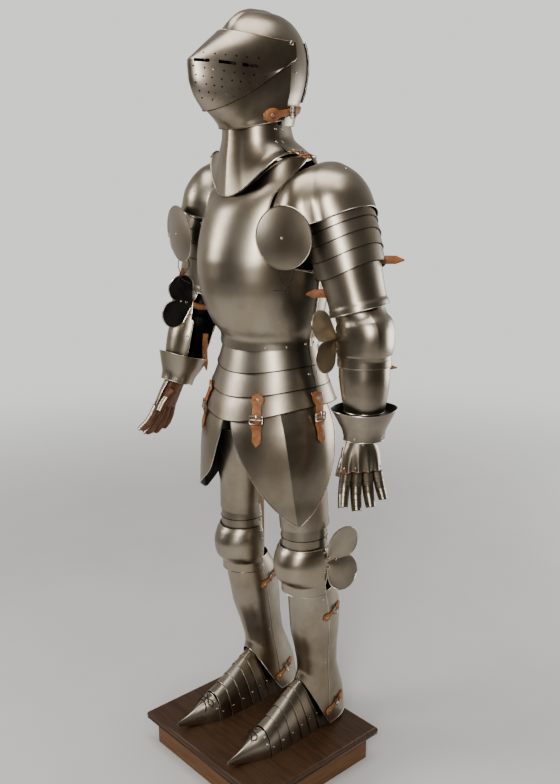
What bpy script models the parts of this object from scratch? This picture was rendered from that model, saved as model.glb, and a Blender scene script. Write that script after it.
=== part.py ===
"""A suit of plate armour on a wooden plinth, held up from inside by a plain wooden stand.

Metres, +Z up. The front faces -Y and the wearer's left is +X. The origin is the middle of the
plinth's underside. Heights in the tables are measured from the plinth's top.

A plate is a thin wall through rings. A ring is an oval round the body, in which the angle runs from
the front (0) over the wearer's own side (90) to the back (180), so that one table serves both sides.
"""

import math
from collections import namedtuple

import bmesh
import bpy
from mathutils import Matrix, Vector

# Driving dimensions
PLATE = 0.0015
LEATHER = 0.003
SEAM = 0.0003
RISER = 0.0022
WELD = 2e-5

PLINTH_WIDTH, PLINTH_DEPTH, PLINTH_HEIGHT = 0.494, 0.439, 0.100
SLAB_THICK, SLAB_OVERHANG, SLAB_EDGE = 0.022, 0.022, 0.005

KNEE_APART, FOOT_APART, KNEE_HEIGHT, ANKLE_HEIGHT = 0.124, 0.104, 0.450, 0.080
THIGH_LEAN = 0.085
LEG_LIFT = {"left": 0.010, "right": -0.010}
SHIN_AHEAD = {"left": 0.000, "right": 0.014}
RONDEL_RADIUS, RONDEL_DOME, RONDEL_SIDES = 0.070, 0.009, 18
RONDEL_SHARES = (1.0, 0.6, 0.0)
# A rondel: its middle, how far it looks outwards, and how far down
Rondel = namedtuple("Rondel", "out ahead height turn nod")
RONDELS = {"left": Rondel(0.197, -0.096, 1.371, 20, 0), "right": Rondel(0.190, -0.100, 1.354, 12, 5)}

STEEL = ("steel", (0.36, 0.33, 0.29, 1.0), 0.32, 1.0)
STRAP = ("strap leather", (0.42, 0.17, 0.06, 1.0), 0.55, 0.0)
GLOVE = ("glove leather", (0.20, 0.09, 0.045, 1.0), 0.65, 0.0)
LACE = ("lace", (0.03, 0.02, 0.015, 1.0), 0.70, 0.0)
WOOD = ("stained wood", (0.16, 0.06, 0.025, 1.0), 0.40, 0.0)
POST_WOOD = ("stand wood", (0.45, 0.33, 0.20, 1.0), 0.60, 0.0)

# One ring: its height at the sides, how much its front and back points stand above that, its half
# width, its depth before and behind its centre, where that centre is, the arc that the plate fills, and
# how late its height changes on the way from the side to the front.
Ring = namedtuple("Ring", "height front back wide fore aft centre start stop ease", defaults=(2.5,))
# A ridge: how far it stands out, as a share of the ring, at which angle, how wide and how round it is,
# how far it turns with each metre of height, and how far the plate beside it is flattened.
Ridge = namedtuple("Ridge", "rise angle span power lean flat", defaults=(0.0, 0.0))
FLAT = Ridge(0.0, 0, 1, 1)

# Torso
#                    height  front   back   wide   fore   aft   centre start stop
BREASTPLATE = [Ring(1.545, -0.083, 0.000, 0.128, 0.118, 0.0, 0.050, -88, 88, 4.0),
               Ring(1.500, -0.042, 0.000, 0.139, 0.140, 0.0, 0.050, -64, 64),
               Ring(1.462, -0.018, 0.000, 0.151, 0.158, 0.0, 0.050, -49, 49),
               Ring(1.420, -0.004, 0.000, 0.158, 0.174, 0.0, 0.050, -46, 46),
               Ring(1.380, 0.000, 0.000, 0.163, 0.187, 0.0, 0.050, -45, 45),
               Ring(1.332, 0.000, 0.000, 0.166, 0.199, 0.0, 0.050, -50, 50),
               Ring(1.300, 0.000, 0.000, 0.166, 0.203, 0.0, 0.050, -62, 62),
               Ring(1.272, 0.000, 0.000, 0.164, 0.203, 0.0, 0.050, -89.7, 89.7),
               Ring(1.235, 0.000, 0.000, 0.161, 0.199, 0.0, 0.050, -89.7, 89.7),
               Ring(1.190, 0.000, 0.000, 0.153, 0.185, 0.0, 0.050, -89.7, 89.7),
               Ring(1.145, 0.000, 0.000, 0.143, 0.161, 0.0, 0.050, -89.7, 89.7),
               Ring(1.110, 0.000, 0.000, 0.133, 0.135, 0.0, 0.050, -89.7, 89.7),
               Ring(1.095, -0.010, 0.000, 0.135, 0.134, 0.0, 0.050, -89.7, 89.7)]
BACKPLATE = [Ring(1.545, 0.0, -0.020, 0.128, 0.0, 0.070, 0.050, 92, 268),
             Ring(1.500, 0.0, -0.010, 0.142, 0.0, 0.088, 0.050, 114, 246),
             Ring(1.440, 0.0, 0.000, 0.155, 0.0, 0.107, 0.050, 124, 236),
             Ring(1.370, 0.0, 0.000, 0.163, 0.0, 0.117, 0.050, 122, 238),
             Ring(1.310, 0.0, 0.000, 0.166, 0.0, 0.120, 0.050, 108, 252),
             Ring(1.272, 0.0, 0.000, 0.164, 0.0, 0.119, 0.050, 90.3, 269.7),
             Ring(1.235, 0.0, 0.000, 0.161, 0.0, 0.115, 0.050, 90.3, 269.7),
             Ring(1.190, 0.0, 0.000, 0.153, 0.0, 0.110, 0.050, 90.3, 269.7),
             Ring(1.145, 0.0, 0.000, 0.143, 0.0, 0.104, 0.050, 90.3, 269.7),
             Ring(1.110, 0.0, 0.000, 0.133, 0.0, 0.097, 0.050, 90.3, 269.7),
             Ring(1.095, 0.0, 0.000, 0.135, 0.0, 0.099, 0.050, 90.3, 269.7)]
FAULD_LAMES = [[Ring(1.108, -0.010, 0.0, 0.1260, 0.1250, 0.0, 0.050, -89.7, 89.7),
                Ring(1.080, -0.014, 0.0, 0.1330, 0.1320, 0.0, 0.049, -89.7, 89.7),
                Ring(1.048, -0.018, 0.0, 0.1440, 0.1400, 0.0, 0.048, -89.7, 89.7)],
               [Ring(1.058, -0.020, 0.0, 0.1370, 0.1320, 0.0, 0.048, -89.7, 89.7),
                Ring(1.030, -0.023, 0.0, 0.1480, 0.1420, 0.0, 0.047, -89.7, 89.7),
                Ring(0.998, -0.026, 0.0, 0.1610, 0.1530, 0.0, 0.046, -89.7, 89.7)],
               [Ring(1.008, -0.028, 0.0, 0.1530, 0.1440, 0.0, 0.046, -89.7, 89.7),
                Ring(0.984, -0.034, 0.0, 0.1645, 0.1560, 0.0, 0.045, -89.7, 89.7),
                Ring(0.955, -0.042, 0.0, 0.1780, 0.1680, 0.0, 0.045, -89.7, 89.7)]]
CULET = [Ring(1.108, 0.0, 0.0, 0.1260, 0.0, 0.0880, 0.050, 90.3, 269.7),
         Ring(1.048, 0.0, -0.006, 0.1440, 0.0, 0.1140, 0.048, 90.3, 269.7),
         Ring(0.998, 0.0, -0.012, 0.1610, 0.0, 0.1330, 0.046, 90.3, 269.7),
         Ring(0.955, 0.0, -0.024, 0.1780, 0.0, 0.1530, 0.045, 90.3, 269.7)]
TASSET = [Ring(0.966, -0.026, 0.0, 0.1600, 0.1500, 0.124, 0.045, 4, 108),
          Ring(0.935, -0.018, 0.0, 0.1710, 0.1590, 0.134, 0.045, 7, 111),
          Ring(0.890, -0.006, 0.0, 0.1835, 0.1700, 0.145, 0.045, 12, 113),
          Ring(0.835, 0.000, 0.0, 0.1905, 0.1790, 0.152, 0.045, 20, 109),
          Ring(0.780, 0.000, 0.0, 0.1930, 0.1850, 0.156, 0.045, 31, 101),
          Ring(0.725, 0.000, 0.0, 0.1930, 0.1890, 0.158, 0.045, 44, 90),
          Ring(0.682, 0.000, 0.0, 0.1950, 0.1920, 0.160, 0.045, 57, 78),
          Ring(0.660, 0.000, 0.0, 0.1955, 0.1930, 0.160, 0.045, 66, 69)]
TASSET_RIDGE = Ridge(0.052, 95.7, 34, 1, -45, 0.016)
TASSET_STARTS = {"left": (4, 7, 12, 20, 31, 44, 57, 66), "right": (3, 1, 1, 4, 9, 29, 55, 66)}
STRAP_PROUD = LEATHER + 0.0026
TASSET_STRAP_ANGLES = {"front": 34, "side": 88}
TASSET_STRAP_HEIGHTS = (0.990, 0.976, 0.962, 0.946, 0.930, 0.908, 0.885, 0.862)
TASSET_STRAP_WIDTHS = (0.018, 0.033, 0.025, 0.025, 0.025, 0.025, 0.025, 0.014)

# Helmet and neck
GORGET_FRONT = [Ring(1.622, 0.0, 0.0, 0.0820, 0.0750, 0.0, -0.008, -89.8, 89.8),
                Ring(1.586, 0.0, 0.0, 0.0835, 0.0760, 0.0, -0.008, -89.8, 89.8),
                Ring(1.566, -0.030, 0.0, 0.0930, 0.0820, 0.0, -0.008, -89.8, 89.8),
                Ring(1.555, -0.062, 0.0, 0.1080, 0.0850, 0.0, -0.008, -89.8, 89.8),
                Ring(1.552, -0.098, 0.0, 0.1310, 0.0880, 0.0, -0.008, -89.8, 89.8)]
GORGET_BACK = [Ring(1.622, 0.0, 0.0, 0.0820, 0.0, 0.0840, -0.008, 90.2, 269.8),
               Ring(1.586, 0.0, 0.0, 0.0835, 0.0, 0.0980, -0.008, 90.2, 269.8),
               Ring(1.566, 0.0, 0.004, 0.0940, 0.0, 0.1200, -0.008, 90.2, 269.8),
               Ring(1.552, 0.0, -0.016, 0.1310, 0.0, 0.1440, -0.008, 90.2, 269.8)]
GORGET_RIDGE = Ridge(0.06, 0, 22, 1)
SKULL = [Ring(1.866, 0.0, -0.004, 0.0015, 0.030, 0.030, 0.010, 0, 360),
         Ring(1.859, 0.0, -0.003, 0.0320, 0.056, 0.055, 0.010, 0, 360),
         Ring(1.842, 0.0, 0.000, 0.0590, 0.083, 0.081, 0.010, 0, 360),
         Ring(1.818, 0.0, 0.000, 0.0780, 0.102, 0.102, 0.010, 0, 360),
         Ring(1.794, 0.0, 0.000, 0.0890, 0.110, 0.113, 0.010, 0, 360),
         Ring(1.766, 0.0, 0.000, 0.0950, 0.110, 0.119, 0.010, 90, 270),
         Ring(1.730, 0.0, 0.000, 0.0975, 0.105, 0.120, 0.008, 90, 270),
         Ring(1.690, 0.0, 0.000, 0.0965, 0.100, 0.114, 0.004, 90, 270),
         Ring(1.650, 0.0, 0.000, 0.0925, 0.097, 0.100, -0.002, 90, 270),
         Ring(1.612, 0.0, 0.000, 0.0895, 0.095, 0.090, -0.006, 90, 270)]
SKULL_COLUMNS, FACE_COLUMNS = 16, 12
NAPE_HEIGHTS, NAPE_REACH, NAPE_PROUD = (1.800, 1.766, 1.730, 1.690, 1.668), 42, 0.0045
NAPE_COLUMNS = 6
HELMET_STRAP = ((60, 1.631), (76, 1.636), (92, 1.640), (112, 1.645), (128, 1.650))
HELMET_STRAP_WIDTH, HELMET_STRAP_PROUD = 0.018, 0.006

# A row of the face: where it crosses the middle, where it ends at the side, its half width there, how
# round it is from one side to the other seen from above and from the front, and how far it droops between.
Brow = namedtuple("Brow", "ahead height side_ahead side_height wide bow arch droop")
DROOP_END = 12
VISOR = [Brow(-0.1035, 1.819, 0.020, 1.794, 0.107, 2.4, 1.8, 0.005),
         Brow(-0.1480, 1.788, 0.024, 1.782, 0.107, 2.1, 1.8, 0.018),
         Brow(-0.2000, 1.7515, 0.026, 1.762, 0.107, 1.55, 1.6, 0.036),
         Brow(-0.2010, 1.7440, 0.026, 1.760, 0.107, 1.55, 1.6, 0.036),
         Brow(-0.1985, 1.712, 0.024, 1.757, 0.107, 1.55, 1.8, 0.024),
         Brow(-0.1870, 1.681, 0.018, 1.753, 0.107, 1.6, 2.0, 0.012),
         Brow(-0.1560, 1.643, 0.010, 1.750, 0.107, 1.8, 2.2, 0.0)]
BEVOR = [Brow(-0.1570, 1.676, 0.014, 1.746, 0.1005, 1.8, 1.9, 0.0),
         Brow(-0.1490, 1.648, 0.013, 1.727, 0.1016, 1.8, 1.9, 0.0),
         Brow(-0.1250, 1.628, 0.010, 1.690, 0.1018, 2.0, 2.0, 0.0),
         Brow(-0.1030, 1.614, 0.004, 1.652, 0.0975, 2.5, 2.5, 0.0),
         Brow(-0.0900, 1.605, 0.000, 1.624, 0.0935, 3.2, 2.6, 0.0)]

# Arms, in frames whose Z runs up the limb from the joint named
Joint = namedtuple("Joint", "out ahead height")
ARMS = {"left": (1, Joint(0.205, 0.050, 1.450), Joint(0.295, 0.070, 1.150), Joint(0.305, 0.066, 0.908)),
        "right": (-1, Joint(0.197, 0.058, 1.450), Joint(0.288, 0.032, 1.162), Joint(0.297, -0.040, 0.952))}
# A hand: how far its back turns outwards, how far it and its fingers bend forwards, and how far it sits
# to one side in its cuff
Hand = namedtuple("Hand", "outwards bend finger_bend shift")
HANDS = {"left": Hand(58, 9, 10, -0.010), "right": Hand(66, 8, 8, 0.0)}
#               height  front   back   wide   fore   aft  centre start stop
PAULDRON = [Ring(0.086, 0.000, 0.000, 0.004, 0.006, 0.006, 0.0, -90, 270),
            Ring(0.079, 0.000, 0.000, 0.027, 0.036, 0.030, 0.0, -90, 270),
            Ring(0.062, 0.000, 0.000, 0.050, 0.070, 0.052, 0.0, -66, 262),
            Ring(0.034, -0.006, -0.004, 0.074, 0.092, 0.074, 0.0, -48, 240),
            Ring(0.000, -0.010, -0.006, 0.087, 0.101, 0.087, 0.0, -43, 228),
            Ring(-0.038, -0.012, -0.032, 0.0910, 0.0990, 0.0940, 0.0, -38, 214)]
PAULDRON_RIDGE = Ridge(0.50, -38, 60, 2)
PAULDRON_LAMES = [Ring(-0.026, -0.012, -0.030, 0.0855, 0.0925, 0.0865, 0.0, -28, 212),
                  Ring(-0.058, -0.012, -0.030, 0.0868, 0.0930, 0.0895, 0.0, -30, 214),
                  Ring(-0.086, -0.014, -0.030, 0.0858, 0.0900, 0.0915, 0.0, -34, 216),
                  Ring(-0.121, -0.014, -0.022, 0.0838, 0.0860, 0.0900, 0.0, -38, 218),
                  Ring(-0.160, -0.016, -0.017, 0.0810, 0.0815, 0.0880, 0.0, -44, 220)]
REREBRACE = [Ring(-0.140, 0.0, 0.0, 0.0745, 0.0750, 0.0795, 0.0, -56, 236),
             Ring(-0.244, 0.0, 0.0, 0.0675, 0.0675, 0.0715, 0.0, -54, 234),
             Ring(-0.248, 0.0, 0.0, 0.0695, 0.0690, 0.0735, 0.0, -54, 234),
             Ring(-0.262, 0.0, 0.0, 0.0700, 0.0695, 0.0740, 0.0, -52, 234)]
COUTER = [Ring(0.056, 0.0, 0.0, 0.0570, 0.0580, 0.0600, 0.0, -46, 222),
          Ring(0.036, 0.0, 0.0, 0.0585, 0.0600, 0.0620, 0.0, -44, 220),
          Ring(0.020, 0.0, 0.0, 0.0665, 0.0655, 0.0700, 0.0, -42, 216),
          Ring(0.000, 0.0, 0.0, 0.0690, 0.0670, 0.0725, 0.0, -38, 212),
          Ring(-0.030, 0.0, 0.0, 0.0675, 0.0660, 0.0695, 0.0, -42, 216),
          Ring(-0.046, 0.0, 0.0, 0.0655, 0.0650, 0.0660, 0.0, -44, 218),
          Ring(-0.050, 0.0, 0.0, 0.0635, 0.0635, 0.0645, 0.0, -44, 218),
          Ring(-0.076, 0.0, 0.0, 0.0630, 0.0635, 0.0640, 0.0, -50, 222)]
COUTER_RIDGE = Ridge(0.09, 66, 24, 1)
ELBOW_SPAN = 0.045
VAMBRACE = [Ring(-0.060, 0.0, 0.0, 0.0600, 0.0600, 0.0605, 0.0, -52, 228),
            Ring(-0.100, 0.0, 0.0, 0.0600, 0.0600, 0.0605, 0.0, -56, 230),
            Ring(-0.140, 0.0, 0.0, 0.0560, 0.0560, 0.0570, 0.0, -60, 232),
            Ring(-0.186, 0.0, 0.0, 0.0480, 0.0470, 0.0480, 0.0, -64, 236)]
CUFF = [Ring(0.062, -0.006, 0.004, 0.0790, 0.0640, 0.0640, 0.0, -90, 270),
        Ring(0.036, -0.003, 0.002, 0.0650, 0.0560, 0.0560, 0.0, -90, 270),
        Ring(0.004, 0.000, 0.000, 0.0510, 0.0450, 0.0440, 0.0, -90, 270),
        Ring(-0.012, 0.000, 0.000, 0.0490, 0.0430, 0.0420, 0.0, -90, 270)]
HAND_PLATE = [Ring(-0.014, 0.0, 0.0, 0.0362, 0.0295, 0.0, 0.000, -84, 84),
              Ring(-0.046, 0.0, 0.0, 0.0460, 0.0280, 0.0, 0.000, -84, 84),
              Ring(-0.086, 0.0, 0.0, 0.0500, 0.0240, 0.0, 0.000, -84, 84)]
# The glove: half width, half thickness, depth of the grooves between the fingers
Palm = namedtuple("Palm", "height wide thick groove")
GLOVE_ROWS = [Palm(0.004, 0.031, 0.0200, 0.0),
              Palm(-0.040, 0.037, 0.0180, 0.0),
              Palm(-0.086, 0.044, 0.0150, 0.004)]
FINGER_ROWS = [Palm(-0.034, 0.045, 0.0125, 0.006),
               Palm(-0.068, 0.043, 0.0110, 0.006),
               Palm(-0.094, 0.040, 0.0060, 0.003)]
FINGER_LENGTHS = (0.90, 1.0, 0.94, 0.78)
FINGER_BLOCK = 0.25
THUMB_ROOT, THUMB_TIP, THUMB_RADIUS = (-0.030, 0.017, -0.036), (-0.052, 0.014, -0.100), 0.0105
THUMB_SHAPE = ((0.0, 1.0), (0.40, 1.08), (0.85, 0.85), (1.0, 0.10))
THUMB_SIDES = 8

# Legs
#             height  front   back   wide   fore   aft   centre start stop
CUISSE = [Ring(0.872, -0.012, 0.0, 0.0780, 0.0820, 0.0760, 0.036, -96, 150),
          Ring(0.800, 0.000, 0.0, 0.0760, 0.0810, 0.0740, 0.038, -96, 150),
          Ring(0.740, 0.000, 0.0, 0.0700, 0.0750, 0.0700, 0.040, -94, 146),
          Ring(0.680, 0.000, 0.0, 0.0630, 0.0670, 0.0650, 0.044, -92, 142),
          Ring(0.612, 0.000, 0.0, 0.0605, 0.0670, 0.0650, 0.047, -92, 138)]
KNEE_LAMES = [Ring(0.627, 0.0, 0.0, 0.0550, 0.0610, 0.0590, 0.047, -108, 130),
              Ring(0.589, 0.0, 0.0, 0.0580, 0.0665, 0.0600, 0.048, -110, 130),
              Ring(0.556, 0.0, 0.0, 0.0585, 0.0680, 0.0600, 0.049, -110, 128)]
POLEYN = [Ring(0.564, 0.0, 0.0, 0.0630, 0.0725, 0.060, 0.050, -98, 100),
          Ring(0.550, 0.0, 0.0, 0.0685, 0.0820, 0.060, 0.050, -98, 100),
          Ring(0.516, 0.0, 0.0, 0.0725, 0.0920, 0.060, 0.050, -98, 100),
          Ring(0.484, 0.0, 0.0, 0.0705, 0.0870, 0.060, 0.050, -98, 100),
          Ring(0.464, 0.0, 0.0, 0.0670, 0.0740, 0.060, 0.052, -98, 98),
          Ring(0.460, 0.0, 0.0, 0.0650, 0.0705, 0.060, 0.054, -98, 96),
          Ring(0.432, 0.0, 0.0, 0.0645, 0.0730, 0.060, 0.060, -96, 94)]
GREAVE = [Ring(0.448, 0.000, 0.000, 0.0560, 0.0600, 0.0640, 0.069, 0, 0),
          Ring(0.385, 0.000, 0.000, 0.0590, 0.0720, 0.0790, 0.084, 0, 0),
          Ring(0.320, 0.000, 0.000, 0.0570, 0.0720, 0.0760, 0.092, 0, 0),
          Ring(0.245, 0.000, 0.000, 0.0500, 0.0630, 0.0670, 0.102, 0, 0)]
GREAVE_FOOT = {"front": [Ring(0.190, 0.012, 0.0, 0.0470, 0.0590, 0.0, 0.108, 0, 0, 1.2),
                         Ring(0.135, 0.048, 0.0, 0.0485, 0.0640, 0.0, 0.115, 0, 0, 1.2),
                         Ring(0.075, 0.097, 0.0, 0.0520, 0.0710, 0.0, 0.118, 0, 0, 1.2),
                         Ring(0.016, 0.148, 0.0, 0.0560, 0.0760, 0.0, 0.120, 0, 0, 1.2)],
               "back": [Ring(0.190, 0.0, 0.000, 0.0470, 0.0, 0.0660, 0.108, 0, 0),
                        Ring(0.135, 0.0, 0.000, 0.0485, 0.0, 0.0770, 0.115, 0, 0),
                        Ring(0.075, 0.0, 0.000, 0.0520, 0.0, 0.0930, 0.118, 0, 0),
                        Ring(0.016, 0.0, -0.004, 0.0560, 0.0, 0.0970, 0.120, 0, 0)]}
GREAVE_ARCS = {"front": (-89.7, 89.7), "back": (90.3, 269.7)}

# A section of the foot: how far back its crown is, its half width, its height, how high its sides start,
# and how far they stand behind the crown
Foot = namedtuple("Foot", "back wide rise sole slant")
SABATON = [Foot(0.062, 0.0350, 0.167, 0.0, 0.060),
           Foot(0.042, 0.0375, 0.158, 0.0, 0.052),
           Foot(0.020, 0.0395, 0.145, 0.0, 0.040),
           Foot(-0.004, 0.0410, 0.129, 0.0, 0.030),
           Foot(-0.032, 0.0415, 0.109, 0.0, 0.020),
           Foot(-0.060, 0.0405, 0.091, 0.0, 0.010),
           Foot(-0.090, 0.0385, 0.074, 0.0, 0.004)]
TOE_CAP = [Foot(-0.093, 0.0372, 0.0690, 0.0, 0.003),
           Foot(-0.113, 0.0305, 0.0605, 0.0, 0.0),
           Foot(-0.136, 0.0205, 0.0490, 0.0, 0.0),
           Foot(-0.160, 0.0125, 0.0380, 0.004, 0.0),
           Foot(-0.185, 0.0070, 0.0300, 0.010, 0.0),
           Foot(-0.208, 0.0030, 0.0250, 0.016, 0.0)]
TOE_OUT = 0.006
ARCH_POWER, ARCH_COLUMNS = 0.85, 8

# A wing of two lobes: each lobe's distance, angle and radius, and how far the wing curls out
Wing = namedtuple("Wing", "distance angle radius curl")
ELBOW_WING = Wing(0.058, 38, 0.036, 0.010)
ELBOW_WING_ROOT, ELBOW_WING_TURN = (-0.0420, -0.0515, -0.005), 14
KNEE_WING = Wing(0.064, 38, 0.048, 0.016)
KNEE_WING_ROOT = (0.0720, 0.057, 0.527)
WING_LIMIT, WING_STUB, WING_STEPS = 112, 0.014, 20

# Laces: routes from end to end
LACE_THICK, TOE_LACE_THICK, LACE_BACK = 0.0022, 0.0028, 0.004
RONDEL_LACE = ((-0.038, 0.000, -0.122), (-0.018, 0.001, -0.119), (0.003, 0.002, -0.113),
               (0.012, 0.004, -0.098), (0.022, 0.006, -0.080), (0.018, 0.009, -0.062),
               (0.000, 0.010, -0.052), (-0.018, 0.009, -0.062), (-0.024, 0.006, -0.080),
               (-0.010, 0.000, -0.100), (0.006, -0.003, -0.1125), (0.014, -0.004, -0.124))
TOE_LACE = ((-0.0250, -0.136, 0.0400), (-0.0180, -0.129, 0.0500), (-0.0056, -0.124, 0.0640),
            (0.0042, -0.126, 0.0646), (0.0126, -0.134, 0.0580), (0.0182, -0.124, 0.0571),
            (0.0136, -0.114, 0.0639), (0.0016, -0.118, 0.0706), (-0.0096, -0.116, 0.0692),
            (-0.0208, -0.106, 0.0630), (-0.0275, -0.114, 0.0510), (-0.0176, -0.118, 0.0570),
            (-0.0048, -0.112, 0.0735), (0.0048, -0.106, 0.0743))
LACE_STEP = 3.0

# The stand inside
POST_SIZE, POST_AHEAD, POST_OUT = 0.026, 0.088, 0.111
HIP_HEIGHT, HIP_DEPTH, HIP_THICK = 0.968, 0.100, 0.024
SPINE_SIZE, SPINE_AHEAD, SPINE_TOP = 0.026, 0.036, 1.742
YOKE_HEIGHT, YOKE_REACH, YOKE_THICK = 1.440, 0.185, 0.022
HEAD_RADIUS, HEAD_THICK, HEAD_AHEAD, HEAD_SIDES = 0.045, 0.020, 0.026, 24
JOINT_BITE = 0.004
SHOULDER_STRAP = ((0.119, 1.5615), (0.135, 1.557), (0.153, 1.550), (0.174, 1.543))
SHOULDER_STRAP_EDGES = (-0.010, 0.010)


def clear_scene():
    for thing in list(bpy.data.objects):
        bpy.data.objects.remove(thing, do_unlink=True)


def finish_of(kind):
    """The shared material for a kind of stuff."""
    name, colour, roughness, metallic = kind
    found = bpy.data.materials.get(name)
    if found:
        return found
    material = bpy.data.materials.new(name)
    material.use_nodes = True
    shader = material.node_tree.nodes["Principled BSDF"]
    shader.inputs["Base Color"].default_value = colour
    shader.inputs["Roughness"].default_value = roughness
    shader.inputs["Metallic"].default_value = metallic
    return material


def object_of(name, mesh_edit, kind, parent=None, place=None):
    """A named object from a bmesh, smooth, under its parent."""
    mesh = bpy.data.meshes.new(name)
    mesh_edit.to_mesh(mesh)
    mesh_edit.free()
    mesh.materials.append(finish_of(kind))
    mesh.shade_smooth()
    mesh.set_sharp_from_angle(angle=math.radians(35))
    thing = bpy.data.objects.new(name, mesh)
    bpy.context.collection.objects.link(thing)
    thing.parent = parent
    if place is not None:
        thing.matrix_local = place
    return thing


def guide(name, parent=None, place=None):
    """An empty that carries pieces."""
    empty = bpy.data.objects.new(name, None)
    empty.empty_display_size = 0.05
    bpy.context.collection.objects.link(empty)
    empty.parent = parent
    if place is not None:
        empty.matrix_local = place
    return empty


def limb_place(top, bottom, side, at_bottom=False):
    """A frame whose Z runs from a limb's lower joint to its upper one, and whose -Y looks forwards."""
    upper = Vector((side * top.out, top.ahead, top.height))
    lower = Vector((side * bottom.out, bottom.ahead, bottom.height))
    up = (upper - lower).normalized()
    back = up.cross(Vector((1, 0, 0))).normalized()
    across = back.cross(up)
    turn = Matrix((across, back, up)).transposed().to_4x4()
    return Matrix.Translation(lower if at_bottom else upper) @ turn


def oval(ring, angle, ridge=FLAT):
    """A point of a ring."""
    turn = math.radians(angle)
    ahead, aside = math.cos(turn), math.sin(turn)
    depth, lift = (ring.fore, ring.front) if ahead > 0 else (ring.aft, ring.back)
    near = min(1.0, abs(angle - ridge.angle - ridge.lean * ring.height) / ridge.span)
    grown = 1 + ridge.rise * (1 - near ** ridge.power) - ridge.flat * 4 * near * (1 - near)
    return Vector((ring.wide * grown * aside,
                   ring.centre - depth * grown * ahead,
                   ring.height + lift * abs(ahead) ** ring.ease))


def sheet(name, rows, kind, parent, side=1, wall=PLATE, place=None):
    """A wall through rows of points that run top to bottom, thickened inwards. None leaves a corner out."""
    edit = bmesh.new()
    grid = [[p and edit.verts.new((side * p.x, p.y, p.z)) for p in row] for row in rows]
    for upper, lower in zip(grid, grid[1:]):
        for a, b, c, d in zip(upper, upper[1:], lower[1:], lower):
            if a and b and c and d:
                edit.faces.new((d, c, b, a) if side > 0 else (a, b, c, d))
    bmesh.ops.remove_doubles(edit, verts=edit.verts, dist=WELD)
    plate = object_of(name, edit, kind, parent, place)
    thick = plate.modifiers.new("wall", "SOLIDIFY")
    thick.thickness = wall
    thick.offset = -1
    thick.use_even_offset = True
    thick.use_quality_normals = True
    return plate


def plate_rows(rings, columns, ridge=FLAT):
    rows = []
    for ring in rings:
        steps = [ring.start + (ring.stop - ring.start) * n / columns for n in range(columns + 1)]
        crease = ridge.angle + ridge.lean * ring.height
        if ridge.lean and ring.start < crease < ring.stop:
            half = columns // 2
            steps = [ring.start + (crease - ring.start) * n / half for n in range(half)]
            steps += [crease + (ring.stop - crease) * n / half for n in range(half + 1)]
        rows.append([oval(ring, angle, ridge) for angle in steps])
    return rows


def plate_of(name, rings, kind, parent, side=1, columns=10, ridge=FLAT, place=None):
    """A plate through rings."""
    return sheet(name, plate_rows(rings, columns, ridge), kind, parent, side, PLATE, place)


def stepped(rings):
    """The rings of lames that lap like tiles: each lame's lower edge stands proud of the next."""
    rows = [rings[0]]
    for ring in rings[1:-1]:
        rows += [ring, moved_out(ring, -RISER)._replace(height=ring.height - RISER / 4)]
    return rows + [rings[-1]]


def moved_out(ring, distance):
    return ring._replace(wide=ring.wide + distance, fore=ring.fore + distance, aft=ring.aft + distance)


def over(rings, angle, height, out, ridge=FLAT):
    """The point that lies a distance out from a plate's face, at this angle and height."""
    levels = [ring._replace(height=oval(ring, angle).z, front=0.0, back=0.0) for ring in rings]
    found = levels[0] if height > levels[0].height else levels[-1]
    for upper, lower in zip(levels, levels[1:]):
        if lower.height <= height <= upper.height:
            share = (upper.height - height) / (upper.height - lower.height)
            found = Ring(*(a + (b - a) * share for a, b in zip(upper, lower)))
    return oval(moved_out(found, out)._replace(height=height), angle, ridge)


def bodies_joined(name, first, others):
    """One body from overlapping ones."""
    first.name = first.data.name = name
    for other in others:
        other.hide_render = True
        other.display_type = "WIRE"
        union = first.modifiers.new("with " + other.name, "BOOLEAN")
        union.operation = "UNION"
        union.object = other
    return first


def make_plinth():
    box = bmesh.new()
    slab = bmesh.new()
    box_height = PLINTH_HEIGHT - SLAB_THICK - SEAM
    inner = Vector((PLINTH_WIDTH - 2 * SLAB_OVERHANG, PLINTH_DEPTH - 2 * SLAB_OVERHANG, box_height))
    outer = Vector((PLINTH_WIDTH, PLINTH_DEPTH, SLAB_THICK))
    for edit, size, bottom in ((box, inner, 0.0), (slab, outer, PLINTH_HEIGHT - SLAB_THICK)):
        middle = Matrix.Translation((0, 0, bottom + size.z / 2))
        bmesh.ops.create_cube(edit, size=1, matrix=middle @ Matrix.Diagonal(size.to_4d()))
    object_of("plinth_box", box, WOOD)
    top = object_of("plinth_slab", slab, WOOD)
    edge = top.modifiers.new("moulded edge", "BEVEL")
    edge.width = SLAB_EDGE
    edge.segments = 2


def make_torso(armour):
    plate_of("breastplate", BREASTPLATE, STEEL, armour, columns=12)
    plate_of("backplate", BACKPLATE, STEEL, armour, columns=10)
    for number, rings in enumerate(FAULD_LAMES, 1):
        plate_of(f"fauld_lame_{number}", rings, STEEL, armour, columns=12)
    plate_of("culet", stepped(CULET), STEEL, armour, columns=10)
    plate_of("gorget_front", GORGET_FRONT, STEEL, armour, columns=12, ridge=GORGET_RIDGE)
    plate_of("gorget_back", GORGET_BACK, STEEL, armour, columns=8)


def tasset_strap_point(angle, height):
    """A point of a strap: it lies on the last lame, then hangs from its lip or lies on the tasset."""
    lame = FAULD_LAMES[-1]
    lip = oval(lame[-1], angle).z
    on_lame = over(lame, angle, max(height, lip), STRAP_PROUD)
    on_tasset = over(TASSET, angle, height, STRAP_PROUD, TASSET_RIDGE)
    on_lame.z = height
    middle = Vector((0.0, TASSET[0].centre, height))
    return max(on_lame, on_tasset, key=lambda point: (point - middle).length)


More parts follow.
